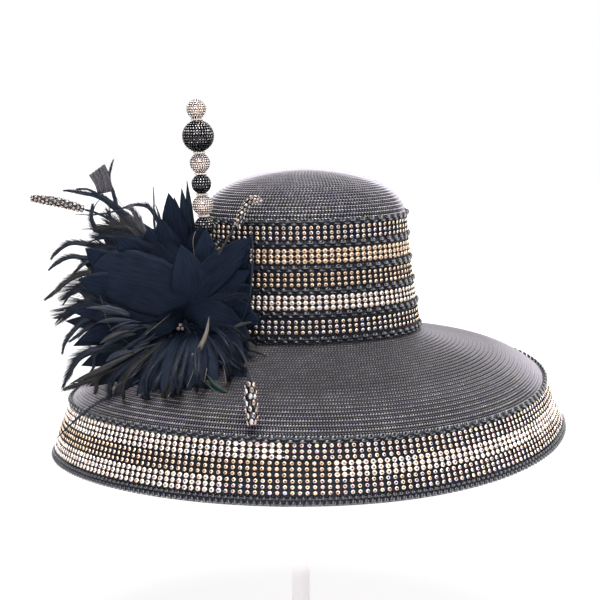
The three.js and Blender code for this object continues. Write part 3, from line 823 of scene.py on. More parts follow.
# Black stones: the lighter upper facets and darker lower ones are painted light, and the white flat tops are
# painted highlights
SPARKS = Tints(
    ((0.07, 0.07, 0.09), (0.12, 0.11, 0.13)),
    ((0.024, 0.024, 0.036), (0.036, 0.034, 0.046)),
    ((0.95, 0.95, 1.0), (0.7, 0.64, 0.66), (1.0, 0.86, 0.7), (0.4, 0.4, 0.44)),
)


def cut_tints(shape, count, tints, warm=0.0):
    """A tint for each facet of each stone, with painted light: facets facing up take paler tints and facets
    facing down the darker lower ones, and the flat top takes the heart tint, a painted reflection. warm is a
    share, for each stone, of its lower tints.
    """
    faces = len(shape.totals)
    upper, lower, heart = (np.array(row)[rng.integers(len(row), size=(count, faces))] for row in tints)
    # Painted light: the more a facet faces up, the paler it is
    pale = 0.55 + 0.6 * shape.facing[:, 1] + rng.normal(0, 0.2, (count, faces)) - warm
    pale = np.clip(pale, 0, 1)[:, :, None]
    sides = (lower + (upper - lower) * pale) * rng.uniform(0.65, 1.1, (count, faces, 1))
    table = (shape.facing[:, 2] > 0.9)[None, :, None]
    return np.minimum(np.where(table, heart, sides), 1)


def stone_rows(heap, shape, place, start, end, stations, tints):
    """Rows of set stones between two turns; the rows share one count so that stones stand in columns."""
    fine = np.linspace(start, end, 200)
    middle = place(fine, np.full(len(fine), stations[1]), STONE_PROUD)
    length = np.linalg.norm(np.diff(middle, axis=0), axis=1).sum()
    count = int(round(length / STONE_PITCH))
    turns = turns_by_length(place, start, end, stations[1], STONE_PROUD, count)
    for station in stations:
        at, axes = seats(place, turns, np.full(count, station), STONE_PROUD)
        lean = np.radians(rng.normal(0, STONE_TILT, (count, 2)))
        along, up, out = axes[:, 0], axes[:, 1], axes[:, 2]
        out = unit(out + along * lean[:, :1] + up * lean[:, 1:])
        along = unit(np.cross(up, out))
        axes = np.stack([along, np.cross(out, along), out], 1)
        heap.copies(shape, at, axes, tint=cut_tints(shape, count, tints))


def turns_by_length(place, start, end, station, proud, count):
    """Turns that share a row's length evenly, half a pitch in from each end."""
    fine = np.linspace(start, end, 721)
    line = place(fine, np.full(len(fine), float(station)), proud)
    run = run_along(line)
    return np.interp((np.arange(count) + 0.5) / count * run[-1], run, fine)


SPACED = set_stone(1.65, 1.95)
CLOSE = set_stone(2.0, 2.2, link=STONE_PITCH)
SLOTS = {"bright": "close_stones", "dark": "spaced_stones"}
STONE_PROUD = 1.7
STONE_TILT = 5.0

# The net under the stones: its foot and top off the straw, its steps in degrees, its margin to the bead rows
# and its place in a piece's list of finishes
NET_FOOT = 0.15
NET_TOP = 1.1
NET_STEP = 2.5
NET_MARGIN = 2
NET_FINISH = 2

# Stone rows from the middle of a band, up or down
CROWN_STONE_ROWS = (-4.35, 0, 4.35)
BRIM_STONE_ROWS = (-4.25, 0, 4.25)


def band(heap, place, start, end, low, high):
    """A flat black strip under the stones, whose section is a closed oblong."""
    corners = [(low, NET_FOOT), (low, NET_TOP), (high, NET_TOP), (high, NET_FOOT), (low, NET_FOOT)]
    section = np.array(corners)
    columns = max(int((end - start) / NET_STEP), 8)
    sheet = grid(columns, len(section) - 1, smooth=False)
    stops = np.linspace(start, end, columns + 1)
    column, row = numbers(sheet)
    points = place(stops[column], section[row, 0], section[row, 1])
    reach = np.hypot(points[:, 0], points[:, 1]).max()
    pattern = np.stack([np.radians(stops[column]) * reach, section[row, 0]], 1)
    heap.add(sheet, on_stand(points), pattern=pattern, finish=NET_FINISH)


# The crown's bands from the lowest up
CROWN_BANDS = (
    ("dark", IRIDESCENT),
    ("bright", CLEAR),
    ("dark", CHAMPAGNE),
    ("bright", CHAMPAGNE),
    ("dark", IRIDESCENT),
)

# The brim's strips from the top down: the turns where bright and dark stones meet in front and behind, the
# side of the bright ones, and the tints of both
BRIM_STRIPS_OF_STONES = (
    ("upper", -5.3, 174, "left", CLEAR, IRIDESCENT),
    ("middle", 4.8, -176, "right", CLEAR, CHAMPAGNE),
    ("lower", -17.4, -168, "left", CLEAR, IRIDESCENT),
)


def stone_band(name, node_name, kind, place, ends, edges, rows, tints):
    """A band of net with its rows of stones: bright ones close together in silver, dark ones apart."""
    heap = Heap()
    band(heap, place, *ends, *edges)
    shape, cup = (CLOSE, SILVER) if kind == "bright" else (SPACED, BLACK_CUP)
    stone_rows(heap, shape, place, *ends, rows, tints)
    heap.piece(name, [STONE, cup, NET], slot=SLOTS[kind], replaces=[node_name])


def crown_bands():
    for index, (kind, tints) in enumerate(CROWN_BANDS):
        low, high = ROW_HEIGHTS[index], ROW_HEIGHTS[index + 1]
        rows = (low + high) / 2 + np.array(CROWN_STONE_ROWS)
        edges = (low + NET_MARGIN, high - NET_MARGIN)
        number = len(CROWN_BANDS) - index
        name, node_name = f"crown_stones_band_{number}", f"crown_stones_{number}"
        stone_band(name, node_name, kind, on_crown, (-180, 180), edges, rows, tints)


def brim_strips():
    for index, (name, front, back, bright_side, bright, dark) in enumerate(BRIM_STRIPS_OF_STONES):
        top = STRIP_START + index * STRIP_PITCH
        seam = back - 360 if back > 0 else back
        halves = {"left": (seam, front), "right": (front, seam + 360)}
        rows = top + STRIP_HEIGHT / 2 + np.array(BRIM_STONE_ROWS)
        for side, ends in halves.items():
            kind, tints = ("bright", bright) if side == bright_side else ("dark", dark)
            names = f"brim_strip_{name}_{kind}", f"brim_stones_{name}_{kind}"
            stone_band(*names, kind, on_border, ends, (top, top + STRIP_HEIGHT), rows, tints)


BEAD_HIGH = round_bead(5.8, 4.4, 2.4)
BEAD_LOW = round_bead(5.6, 2.8, 1.6)
EDGE_BEAD_HIGH = round_bead(4.0, 3.2, 2.0, sides=6)
EDGE_BEAD_LOW = round_bead(4.6, 4.2, 2.6, sides=6)
CORD_SIDES = 6
CORD_COLUMNS = 128


def bead_line(heap, shape, place, count, offset, station, proud):
    turns = turns_by_length(place, -180, 180, station, proud, count) + offset * 360 / count
    at, axes = seats(place, turns, np.full(count, float(station)), proud)
    heap.copies(shape, at, axes, size=rng.uniform(0.95, 1.05, count))


def cord_ring(heap, place, station, radius, proud):
    """The dark thread core that the beads hide."""
    sides = np.radians(np.linspace(0, 360, CORD_SIDES + 1))
    sheet = grid(CORD_COLUMNS, CORD_SIDES)
    turns = np.linspace(-180, 180, CORD_COLUMNS + 1)
    column, row = numbers(sheet)
    points = place(turns[column], station + radius * np.cos(sides[row]), proud + radius * np.sin(sides[row]))
    heap.add(sheet, on_stand(points), finish=1)


def crown_beads():
    for index, height in enumerate(ROW_HEIGHTS):
        number = len(ROW_HEIGHTS) - index
        half = float(row_half(np.array(height)))
        count = int(round(2 * np.pi * math.sqrt(half * half * (1 + ROUNDNESS**2) / 2) / BEAD_PITCH))
        heap = Heap()
        cord_ring(heap, on_crown, station=height - 0.3, radius=1.6, proud=1.2)
        bead_line(heap, BEAD_HIGH, on_crown, count, offset=0, station=height + 1.0, proud=3.2)
        bead_line(heap, BEAD_LOW, on_crown, count, offset=0.5, station=height - 1.7, proud=1.9)
        name, node_name = f"crown_bead_row_{number}", f"crown_beads_{number}"
        heap.piece(name, [JET, NET], slot="jet_beads", replaces=[node_name])


def brim_beads():
    heap = Heap()
    count = int(round(2 * math.pi * (FOLD_RADIUS + 3) / BEAD_PITCH / 1.06))
    cord_ring(heap, on_border, station=1.2, radius=1.3, proud=1.0)
    bead_line(heap, BEAD_HIGH, on_border, count, offset=0, station=0.3, proud=3.0)
    bead_line(heap, BEAD_LOW, on_border, count, offset=0.5, station=2.5, proud=2.1)
    heap.piece("brim_fold_bead_row", [JET, NET], slot="jet_beads", replaces=["brim_fold_beads"])

    heap = Heap()
    edge = BORDER_LENGTH
    count = int(round(2 * math.pi * (FOLD_RADIUS + BORDER_SPREAD) / EDGE_PITCH))
    cord_ring(heap, on_border, station=edge - 3.2, radius=1.4, proud=0.7)
    bead_line(heap, EDGE_BEAD_HIGH, on_border, count, offset=0, station=edge - 5.2, proud=2.0)
    bead_line(heap, EDGE_BEAD_LOW, on_border, count, offset=0.5, station=edge - 1.7, proud=2.0)
    heap.piece("brim_edge_bead_rows", [JET, NET], slot="jet_beads", replaces=["brim_edge_beads"])


crown_shell()
brim_shell()
crown_bands()
brim_strips()
crown_beads()
brim_beads()


# Pin: pavé balls on a rod, with rings of small crystals between them
PIN_TOP = np.array([-88.6, -64, 200.1])
PIN_LEAN = unit(np.array([3.8, 0, -99.3]))
BALL_GAP = 1.5
PIN_BALLS = (
    (7.8, "crystal"),
    (13.2, "black"),
    (8.1, "crystal"),
    (8.1, "black"),
    (8.3, "crystal"),
    (8.1, "black"),
)
ROD_REACH = 177
CRYSTAL_PITCH = 2.0
CRYSTAL_CUT = set_stone(0.82, 0.95, sides=6)
BLACK_PITCH = 2.4
BLACK_CUT = set_stone(1.0, 1.1, sides=6)
BLACK_SUNK = 0.3

# The rings between the balls
RING_STONES = 12
RING_STONE = round_bead(2.4, 2.4)
RING_RADIUS = 4.2
RING_CORE = 3.6


def frame_along(out):
    """Axes whose third one is out and whose second one leans upwards."""
    side = unit(np.cross(np.broadcast_to((0.02, 0.03, 1), out.shape), out))
    return np.stack([side, np.cross(out, side), out], -2)


def ball_rows(radius, pitch):
    """Directions in level rings over a ball, each ring half a stone on from the last."""
    rows = int(round(math.pi * radius / pitch))
    found = []
    for k in range(rows):
        polar = (k + 0.5) * math.pi / rows
        count = max(int(round(2 * math.pi * radius * math.sin(polar) / pitch)), 3)
        turn = (np.arange(count) + 0.5 * (k % 2)) * 2 * math.pi / count
        flat = math.sin(polar)
        found.append(np.stack([flat * np.cos(turn), flat * np.sin(turn), np.full(count, math.cos(polar))], 1))
    return np.concatenate(found)


def sphere(radius, columns=24, rows=16):
    bm = bmesh.new()
    bmesh.ops.create_uvsphere(bm, u_segments=columns, v_segments=rows, radius=radius)
    return shape_of(bm, smooth=True)


def pave_ball(number, radius, colour, at):
    heap = Heap()
    core = sphere(radius - 0.6)
    heap.add(core, on_stand(at + core.points), finish=2)
    if colour == "crystal":
        # Painted reflection: the lower stones take more of their warm lower tints
        out = ball_rows(radius, CRYSTAL_PITCH)
        warm = np.clip(0.2 - out[:, 2:] * 0.9 + rng.normal(0, 0.15, (len(out), 1)), 0, 1)
        tint = cut_tints(CRYSTAL_CUT, len(out), WHITE, warm)
        shape, cup, slot, sunk = CRYSTAL_CUT, SILVER, "close_stones", 0
    else:
        # Painted light: the upper stones' tints are kept bright and the lower ones darkened
        out = ball_rows(radius, BLACK_PITCH)
        shade = np.clip(0.45 + out[:, 2:] * 0.9 + rng.normal(0, 0.2, (len(out), 1)), 0.04, 1)
        tint = cut_tints(BLACK_CUT, len(out), SPARKS) * shade[:, :, None]
        shape, cup, slot, sunk = BLACK_CUT, BLACK_CUP, "jet_beads", BLACK_SUNK
    heap.copies(shape, on_stand(at + out * (radius - sunk)), frame_along(out), tint=tint)
    heap.piece(f"pin_pave_ball_{number}", [STONE, cup, cup], slot=slot, replaces=[f"pin_ball_{number}"])


def pin_ring(number, middle):
    """A ring of small crystals round a flat core."""
    heap = Heap()
    core = sphere(RING_CORE, 16, 8)
    heap.add(core, on_stand(middle + core.points * (1, 1, 0.5)), finish=1)
    angles = np.radians(np.arange(RING_STONES) * (360 // RING_STONES))
    out = np.stack([np.cos(angles), np.sin(angles), np.zeros(RING_STONES)], 1)
    tint = cut_tints(RING_STONE, RING_STONES, CLEAR) * 0.75
    heap.copies(RING_STONE, on_stand(middle + out * RING_RADIUS), frame_along(out), tint=tint)
    heap.piece(f"pin_stone_ring_{number}", [STONE, SILVER], slot="silver", replaces=[f"pin_ring_{number}"])


def pin():
    down = 0.0
    for i, (radius, colour) in enumerate(PIN_BALLS):
        if i:
            upper = PIN_BALLS[i - 1][0]
            pin_ring(i, PIN_TOP + PIN_LEAN * (down + upper + BALL_GAP / 2))
            down += upper + BALL_GAP + radius
        pave_ball(i + 1, radius, colour, PIN_TOP + PIN_LEAN * down)
    heap = Heap()
    share = np.linspace(0, 1, 13)[:, None]
    top = PIN_TOP - PIN_LEAN * (PIN_BALLS[0][0] + 0.6)
    place = top + (PIN_TOP + PIN_LEAN * ROD_REACH - top) * share
    radius = np.array([0, 0.7] + [1.0] * 10 + [0])
    strand(heap, place, np.broadcast_to(PIN_LEAN, place.shape), radius, sides=12)
    heap.piece("pin_shaft", [SILVER], slot="silver", replaces=["pin_rod"])


def bezier(points, s):
    """Points and directions along a curve drawn by its control points, by de Casteljau's rule."""
    level = [np.broadcast_to(p, (len(s), 3)).astype(float) for p in points]
    step = s[:, None]
    while len(level) > 2:
        level = [a * (1 - step) + b * step for a, b in zip(level, level[1:])]
    return level[0] * (1 - step) + level[1] * step, unit(level[1] - level[0])


ASKEW = (0.13, -0.96, 0.21)


def strand(heap, place, along, radius, sides=8, finish=0, hint=ASKEW, tint=(1, 1, 1)):
    """A closed round tube through a line of places, with a radius for each."""
    side = unit(np.cross(along, hint))
    up = np.cross(side, along)
    sheet = grid(sides, len(place) - 1)
    column, row = numbers(sheet)
    angle = 2 * np.pi * (column % sides) / sides
    spread = side[row] * np.cos(angle)[:, None] + up[row] * np.sin(angle)[:, None]
    run = run_along(place)
    points = place[row] + spread * radius[row][:, None]
    pattern = np.stack([column * 0.0, run[row]], 1)
    heap.add(sheet, on_stand(points), pattern=pattern, finish=finish, tint=tint)


pin()


# Stamens: crystals packed on a core at the end of a wrapped wire
def follow(points, count):
    """A smooth line through points, by cubic joins, as arrays of places and directions."""
    points = np.array(points, float)
    gaps = np.sqrt(np.linalg.norm(np.diff(points, axis=0), axis=1))
    knots = np.concatenate([[0], np.cumsum(gaps)])
    slopes = np.gradient(points, knots, axis=0)
    u = np.linspace(0, knots[-1], count)
    i = np.clip(np.searchsorted(knots, u, side="right") - 1, 0, len(points) - 2)
    h = (knots[i + 1] - knots[i])[:, None]
    t = ((u - knots[i])[:, None]) / h
    a, b, m, n = points[i], points[i + 1], slopes[i] * h, slopes[i + 1] * h
    ends = a * (2 * t**3 - 3 * t**2 + 1) + b * (3 * t**2 - 2 * t**3)
    place = ends + m * (t**3 - 2 * t**2 + t) + n * (t**3 - t**2)
    return place, unit(np.gradient(place, axis=0))


# Each stamen: the lines of its wire and head, the head's radius, its rows of stones and the stones in one,
# and a stone's radius and length
Stamen = namedtuple("Stamen", "name wire head radius rows around stone length")
STAMENS = (
    Stamen("left", ((-104, -60, 40), (-140, -64, 92), (-176, -61, 114), (-187, -60, 117.3)),
           ((-186, -60, 117.2), (-208, -61, 124), (-231, -60, 128)), 4.8, 14, 6, 1.35, 3.0),
    Stamen("crown", ((-96, -72, 34), (-74, -95, 76), (-60, -97, 99), (-57, -97, 104)),
           ((-57, -97, 103), (-50, -97, 116), (-42, -97, 126), (-35, -97, 123.5)), 3.6, 11, 5, 1.25, 2.9),
    Stamen("front", ((-96, -74, 14), (-61, -110, 8), (-45, -188, -6), (-44.8, -191, -10)),
           ((-45, -190, -9), (-44, -201, -24), (-43.4, -211, -39)), 5.6, 7, 5, 1.6, 4.8),
)


def stamen(s):
    wire = Heap()
    place, along = follow(s.wire, 30)
    radius = np.full(len(place), 1.0)
    radius[[0, -1]] = 0
    strand(wire, place, along, radius)
    wire.piece(f"stamen_wire_{s.name}", [WIRE], slot="black_wire", replaces=[f"spray_wire_{s.name}"])

    head = Heap()
    place, along = follow(s.head, 33)
    share = np.linspace(0, 1, len(place))
    swell = np.sin(np.pi * (share * 0.9 + 0.05)) ** 0.3
    radius = s.radius * swell
    core = radius * 0.72
    core[[0, -1]] = 0
    strand(head, place, along, core, finish=1)
    side = unit(np.cross(along, ASKEW))
    up = np.cross(side, along)
    stone = long_stone(s.stone, s.length)
    for row in range(s.rows):
        at = (row + 0.6) / s.rows * (len(place) - 1)
        low = min(int(at), len(place) - 2)
        part = at - low
        middle = place[low] * (1 - part) + place[low + 1] * part
        reach = np.interp(at, np.arange(len(place)), radius)
        turns = np.arange(s.around) + 0.5 * (row % 2) + rng.normal(0, 0.08, s.around)
        turns = turns * 2 * np.pi / s.around
        out = np.cos(turns)[:, None] * side[low] + np.sin(turns)[:, None] * up[low]
        out = unit(out + along[low] * 0.25)
        lie = unit(np.cross(np.cross(out, along[low]), out))
        axes = np.stack([lie, np.cross(out, lie), out], 1)
        tint = cut_tints(stone, s.around, CLEAR)
        head.copies(stone, on_stand(middle + out * reach * 0.8), axes, tint=tint * 0.5)
    tip = place[-1] - along[-1] * 0.6
    axes = frame_along(along[-1:])
    tint = cut_tints(SPACED, 1, IRIDESCENT, 0.6)
    head.copies(SPACED, on_stand(tip)[None], axes, size=1.1, tint=tint)
    name, node_name = f"stamen_head_{s.name}", f"spray_head_{s.name}"
    head.piece(name, [STONE, BLACK_CUP], slot="close_stones", replaces=[node_name])


for each in STAMENS:
    stamen(each)


# Feather spray
SPRAY_MIDDLE = np.array([-108.0, -62, 19])
BACKING_AT = np.array([-97.0, -54, 20])
BACKING_HALF = np.array([24.0, 21, 26])
STONES_AT = np.array([-106.4, -82.4, 17.8])
FACE = np.array([0.0, -1, 0])

# Dyes: blue-black, brown-black, undyed grey down, olive, green and tan quill
NAVY = (0.0048, 0.0083, 0.0172)
SOOT = (0.0074, 0.0115, 0.0212)
ASH = (0.05, 0.045, 0.055)
OLIVE = (0.0155, 0.0158, 0.0175)
GREEN = (0.006, 0.018, 0.012)
TAN = (0.13, 0.115, 0.095)

# Each feather: turn round the middle (0 is +X, 90 is up), reach and width, how far its tip comes forward, its
# bow to the side and the share of its length where the bow is, how far it arches forward, and its dye
Feather = namedtuple("Feather", "turn reach width toward bow at arch dye")

# Broad leaves in overlapping rounds
LEAVES = (
    Feather(93, 112, 26, 6, 2, 0.5, 8, NAVY),
    Feather(91, 108, 15, 0, -2, 0.5, 8, NAVY),
    Feather(88, 115, 13, -10, -2, 0.5, 8, SOOT),
    Feather(86, 121, 9, -16, -2, 0.5, 8, SOOT),
    Feather(98, 94, 26, 24, 2, 0.5, 8, NAVY),
    Feather(76, 88, 26, 16, 2, 0.5, 8, NAVY),
    Feather(66, 76, 26, 26, 0, 0.5, 8, NAVY),
    Feather(56, 74, 24, 34, 0, 0.5, 8, NAVY),
    Feather(47, 93, 32, 34, 8, 0.5, 8, NAVY),
    Feather(38, 84, 28, 28, 2, 0.5, 8, NAVY),
    Feather(28, 74, 28, 38, -4, 0.5, 8, NAVY),
    Feather(16, 66, 26, 42, 0, 0.5, 10, NAVY),
    Feather(5, 70, 28, 42, 4, 0.5, 10, NAVY),
    Feather(-8, 62, 26, 46, 4, 0.5, 12, NAVY),
    Feather(-18, 62, 26, 50, -4, 0.5, 16, NAVY),
    Feather(106, 86, 34, 22, 4, 0.5, 8, NAVY),
    Feather(112, 96, 28, -6, 0, 0.5, 8, NAVY),
    Feather(119, 104, 28, -14, 4, 0.5, 8, SOOT),
    Feather(122, 92, 36, 30, -4, 0.5, 8, NAVY),
    Feather(130, 106, 26, -18, 4, 0.5, 8, SOOT),
    Feather(138, 102, 34, 24, 6, 0.5, 8, NAVY),
    Feather(146, 100, 28, 4, -6, 0.5, 8, SOOT),
    Feather(152, 92, 34, 34, -4, 0.5, 8, NAVY),
    Feather(160, 92, 26, 10, 6, 0.5, 8, SOOT),
    Feather(171, 90, 28, 24, -8, 0.5, 8, NAVY),
    Feather(179, 100, 22, -8, 6, 0.5, 8, SOOT),
    Feather(187, 86, 26, 20, -4, 0.5, 8, NAVY),
    Feather(192, 96, 22, -6, -8, 0.5, 10, SOOT),
    Feather(202, 92, 24, 10, 4, 0.5, 12, SOOT),
    Feather(213, 92, 22, 24, 6, 0.5, 16, SOOT),
    Feather(226, 78, 22, 46, -4, 0.5, 22, SOOT),
    Feather(238, 63, 22, 62, 4, 0.5, 26, SOOT),
    Feather(249, 57, 20, 68, 6, 0.5, 28, NAVY),
    Feather(260, 52, 22, 78, -4, 0.5, 30, SOOT),
    Feather(272, 49, 20, 78, 4, 0.5, 32, NAVY),
    Feather(284, 47, 20, 80, 4, 0.5, 34, SOOT),
    Feather(297, 48, 20, 76, -2, 0.5, 34, NAVY),
    Feather(310, 54, 20, 72, -4, 0.5, 34, SOOT),
    Feather(324, 74, 18, 76, 4, 0.5, 30, NAVY),
    Feather(338, 62, 22, 58, 2, 0.5, 22, NAVY),
)

# Slim feathers over the brim, below the leaves
HACKLES = (
    Feather(218, 92, 7, 26, -8, 0.8, 18, OLIVE),
    Feather(225, 84, 7, 40, -7, 0.8, 20, SOOT),
    Feather(233, 74, 7, 56, -8, 0.8, 26, OLIVE),
    Feather(241, 66, 7, 62, 6, 0.8, 28, SOOT),
    Feather(250, 61, 7, 70, -8, 0.8, 30, SOOT),
    Feather(258, 56, 7, 76, 5, 0.8, 30, OLIVE),
    Feather(266, 53, 7, 78, 6, 0.8, 32, SOOT),
    Feather(277, 50, 7, 80, -6, 0.8, 34, SOOT),
    Feather(289, 52, 6, 80, 6, 0.8, 34, NAVY),
    Feather(302, 55, 6, 76, -6, 0.8, 34, SOOT),
    Feather(314, 64, 6, 70, 6, 0.8, 32, SOOT),
    Feather(322, 66, 6, 66, 10, 0.6, 30, SOOT),
    Feather(331, 70, 6, 60, -6, 0.8, 28, NAVY),
    Feather(345, 62, 6, 52, 5, 0.8, 22, NAVY),
    Feather(20, 68, 6, 44, 5, 0.8, 12, NAVY),
)

# Each piece below is the line that it follows, its width, the thickness of its shaft and its dye
Piece = namedtuple("Piece", "line width thick dye")

# Large smooth leaves in front, from the middle outward; the first ends round and the rest end in points
BROAD = (
    Piece(((-101, -92, 40), (-138, -94, 58), (-180, -84, 69)), 50, 0.3, NAVY),
    Piece(((-109, -86, 46), (-130, -83, 80), (-151, -76, 96)), 32, 0.3, NAVY),
    Piece(((-107, -86, 46), (-120, -82, 84), (-130, -74, 102)), 28, 0.3, NAVY),
    Piece(((-97, -88, 46), (-84, -88, 79), (-82, -84, 102)), 24, 0.3, NAVY),
    Piece(((-96, -92, 44), (-66, -97, 74), (-42, -92, 95)), 27, 0.3, NAVY),
    Piece(((-92, -90, 38), (-65, -94, 55), (-46, -90, 66)), 27, 0.3, NAVY),
    Piece(((-93, -90, 34), (-73, -95, 42), (-52, -92, 41)), 28, 0.3, NAVY),
    Piece(((-93, -90, 28), (-73, -98, 27), (-50, -98, 15)), 28, 0.3, NAVY),
    Piece(((-90, -84, 20), (-67, -104, 6), (-53, -110, -22)), 26, 0.3, NAVY),
    Piece(((-115, -90, 34), (-151, -92, 33), (-182, -82, 27)), 24, 0.3, NAVY),
    Piece(((-113, -84, 22), (-146, -88, 12), (-172, -82, -4)), 22, 0.3, NAVY),
    Piece(((-97, -78, 9), (-90, -100, -4), (-82, -108, -24)), 20, 0.3, NAVY),
    Piece(((-93, -88, 36), (-96, -97, 60), (-103, -92, 89)), 34, 0.3, NAVY),
)

# Plumes that curl out past the leaves, in an upper and a lower group parted at this height of their tips
UPPER_FROM = 60
PLUMES = (
    Piece(((-148, -66, 104), (-161, -65, 119), (-172, -64, 127), (-189, -63, 132), (-205, -62, 134)),
          6, 0.35, SOOT),
    Piece(((-150, -66, 112), (-162, -66, 123), (-172, -65, 129), (-182, -63, 134), (-194, -62, 135)),
          4, 0.3, SOOT),
    Piece(((-152, -64, 104), (-161, -62, 129), (-164, -61, 142), (-163, -60, 151), (-160, -58, 160)),
          4, 0.35, SOOT),
    Piece(((-160, -68, 88), (-168, -66, 96), (-176, -66, 102), (-179, -65, 111), (-177, -64, 120),
           (-172, -64, 127)),
          2, 0.5, SOOT),
    Piece(((-165, -66, 91), (-176, -65, 101), (-180, -63, 110), (-179, -62, 123)), 6, 0.35, SOOT),
    Piece(((-151, -68, 115), (-168, -67, 114), (-181, -65, 113), (-196, -64, 114)), 2, 0.35, SOOT),
    Piece(((-152, -70, 97), (-169, -69, 99), (-180, -67, 101), (-190, -66, 101)), 2, 0.35, SOOT),
    Piece(((-140, -68, 83), (-154, -67, 98), (-163, -65, 108), (-165, -64, 115)), 12, 0.35, SOOT),
    Piece(((-130, -76, 87), (-147, -74, 102), (-162, -72, 103), (-176, -70, 101)), 11, 0.35, OLIVE),
    Piece(((-131, -74, 83), (-149, -73, 92), (-166, -71, 95), (-177, -70, 93)), 14, 0.35, SOOT),
    Piece(((-139, -74, 73), (-158, -73, 80), (-170, -71, 85), (-179, -70, 82)), 14, 0.35, NAVY),
    Piece(((-131, -66, 86), (-138, -65, 101), (-144, -63, 113), (-148, -62, 117)), 9, 0.35, ASH),
    Piece(((-119, -64, 86), (-124, -63, 106), (-132, -62, 118), (-142, -61, 120), (-157, -60, 117)),
          5, 0.35, SOOT),
    Piece(((-125, -66, 82), (-127, -65, 103), (-127, -63, 120), (-127, -62, 137)), 2.4, 0.4, SOOT),
    Piece(((-118, -66, 86), (-123, -64, 112), (-126, -62, 121)), 2.4, 0.35, SOOT),
    Piece(((-170, -70, 84), (-183, -68, 88), (-199, -67, 89), (-210, -66, 82), (-217, -64, 75)),
          6, 0.35, SOOT),
    Piece(((-167, -72, 74), (-182, -70, 76), (-197, -69, 78), (-210, -68, 73), (-219, -66, 66)),
          6, 0.35, SOOT),
    Piece(((-170, -74, 74), (-183, -73, 74), (-192, -72, 68), (-199, -71, 60), (-206, -70, 53)),
          4, 0.35, SOOT),
    Piece(((-156, -78, 59), (-178, -75, 65), (-194, -72, 62), (-210, -69, 51), (-224, -66, 40)),
          7, 0.4, OLIVE),
    Piece(((-161, -74, 54), (-181, -71, 54), (-193, -69, 51), (-206, -66, 41)), 16, 0.35, SOOT),
    Piece(((-152, -84, 32), (-174, -80, 40), (-193, -76, 35), (-212, -72, 25)), 19, 0.35, NAVY),
    Piece(((-162, -80, 28), (-185, -78, 26), (-197, -76, 16), (-205, -74, 6), (-209, -72, -6)),
          6, 0.35, SOOT),
    Piece(((-162, -76, 22), (-182, -75, 19), (-193, -73, 12), (-203, -72, 5)), 6, 0.35, SOOT),
    Piece(((-153, -86, 4), (-179, -84, 0), (-192, -83, -6), (-199, -82, -15), (-209, -80, -34)),
          9, 0.4, SOOT),
    Piece(((-159, -84, 4), (-178, -83, -3), (-181, -82, -14), (-187, -81, -24), (-195, -80, -29)),
          3.4, 0.4, SOOT),
    Piece(((-140, -92, -10), (-166, -89, -17), (-186, -87, -26), (-209, -84, -34)), 9, 0.4, OLIVE),
    Piece(((-110, -100, 1), (-131, -102, -17), (-157, -104, -32), (-182, -106, -45), (-213, -108, -72)),
          3.4, 0.7, SOOT),
)

# Bare quills, which have no width, stalks and single odd pieces
PIECES = (
    Piece(((-80, -112, 31), (-83, -115, 16), (-90, -117, 3), (-103, -118, -7)), 4.4, 0.3, TAN),
    Piece(((-91, -84, 99), (-93, -88, 92), (-92, -88, 77)), 0, 0.45, TAN),
    Piece(((-98, -92, 79), (-101, -95, 68), (-103, -92, 57)), 0, 0.4, ASH),
    Piece(((-135, -96, 14), (-124, -98, 23), (-113, -92, 31)), 0, 0.4, TAN),
    Piece(((-44, -104, 114), (-43, -106, 81), (-47, -104, 43), (-59, -96, 12)), 1.5, 0.5, SOOT),
    Piece(((-7, -136, -18), (-37, -132, -21), (-55, -128, -15), (-84, -118, 2)), 4, 0.4, SOOT),
    Piece(((-49, -160, -26), (-54, -160, -32), (-67, -156, -32), (-83, -146, -26)), 4, 0.4, ASH),
    Piece(((-61, -158, -26), (-74, -150, -20), (-82, -140, -12)), 5, 0.4, GREEN),
    Piece(((-66, -158, -31), (-76, -150, -24), (-84, -140, -18)), 4, 0.4, GREEN),
    Piece(((-160, -134, -25), (-147, -124, -14), (-133, -110, -4)), 0, 0.5, TAN),
    Piece(((-161, -134, -24), (-143, -130, -14), (-128, -118, -2)), 0, 0.4, ASH),
    Piece(((-163, -62, 133), (-159, -63, 123), (-155, -65, 114), (-148, -66, 101)), 0, 0.5, SOOT),
    Piece(((-162, -62, 133), (-156, -63, 123), (-149, -65, 115), (-142, -66, 104)), 0, 0.5, SOOT),
    Piece(((-200, -100, -26), (-186, -106, -19), (-162, -110, -8), (-130, -96, 6)), 5, 0.4, OLIVE),
    Piece(((-172, -92, 48), (-163, -98, 20), (-141, -98, 2)), 0, 0.35, ASH),
    Piece(((-98, -150, -22), (-92, -128, -8), (-90, -104, 8)), 0, 0.4, TAN),
    Piece(((-84, -146, -20), (-82, -124, -6), (-86, -102, 8)), 0, 0.4, TAN),
    Piece(((-66, -140, -20), (-70, -120, -4), (-80, -100, 12)), 0, 0.4, TAN),
)
TORN_STRIPS = 5
TORN = Piece(((-168, -62, 131), (-170, -62, 141), (-174, -62, 150)), 14, 0.3, ASH)

# Short hackles all through the lower half: how many, their turns, how far out their roots lie, their lengths
# and widths, and their dyes in turn
WISPS = 130
WISP_TURNS = (165, 350)
WISP_ROOTS = (5, 44)
WISP_LENGTHS = (22, 42)
WISP_WIDTHS = (2.2, 8.0)
WISP_DYES = (NAVY, SOOT, OLIVE, SOOT)
LOWER_MIDDLE = np.array([-106.0, -72, 22])
BROAD_ROOT = np.array([-103.0, -72, 22])

# Barbs: one on each side every so many millimetres, from this share of the length on, swept this many degrees
BARB_PITCH = 0.7
BARB_START = 0.25
BARB_SWEEP = 13
Line = namedtuple("Line", "place forward across face length")


def line_from(place, forward):
    """A line with its sideways and forward-facing axes, and its length."""
    across = unit(np.cross(forward, FACE))
    length = np.linalg.norm(np.diff(place, axis=0), axis=1).sum()
    return Line(place, forward, across, np.cross(across, forward), length)


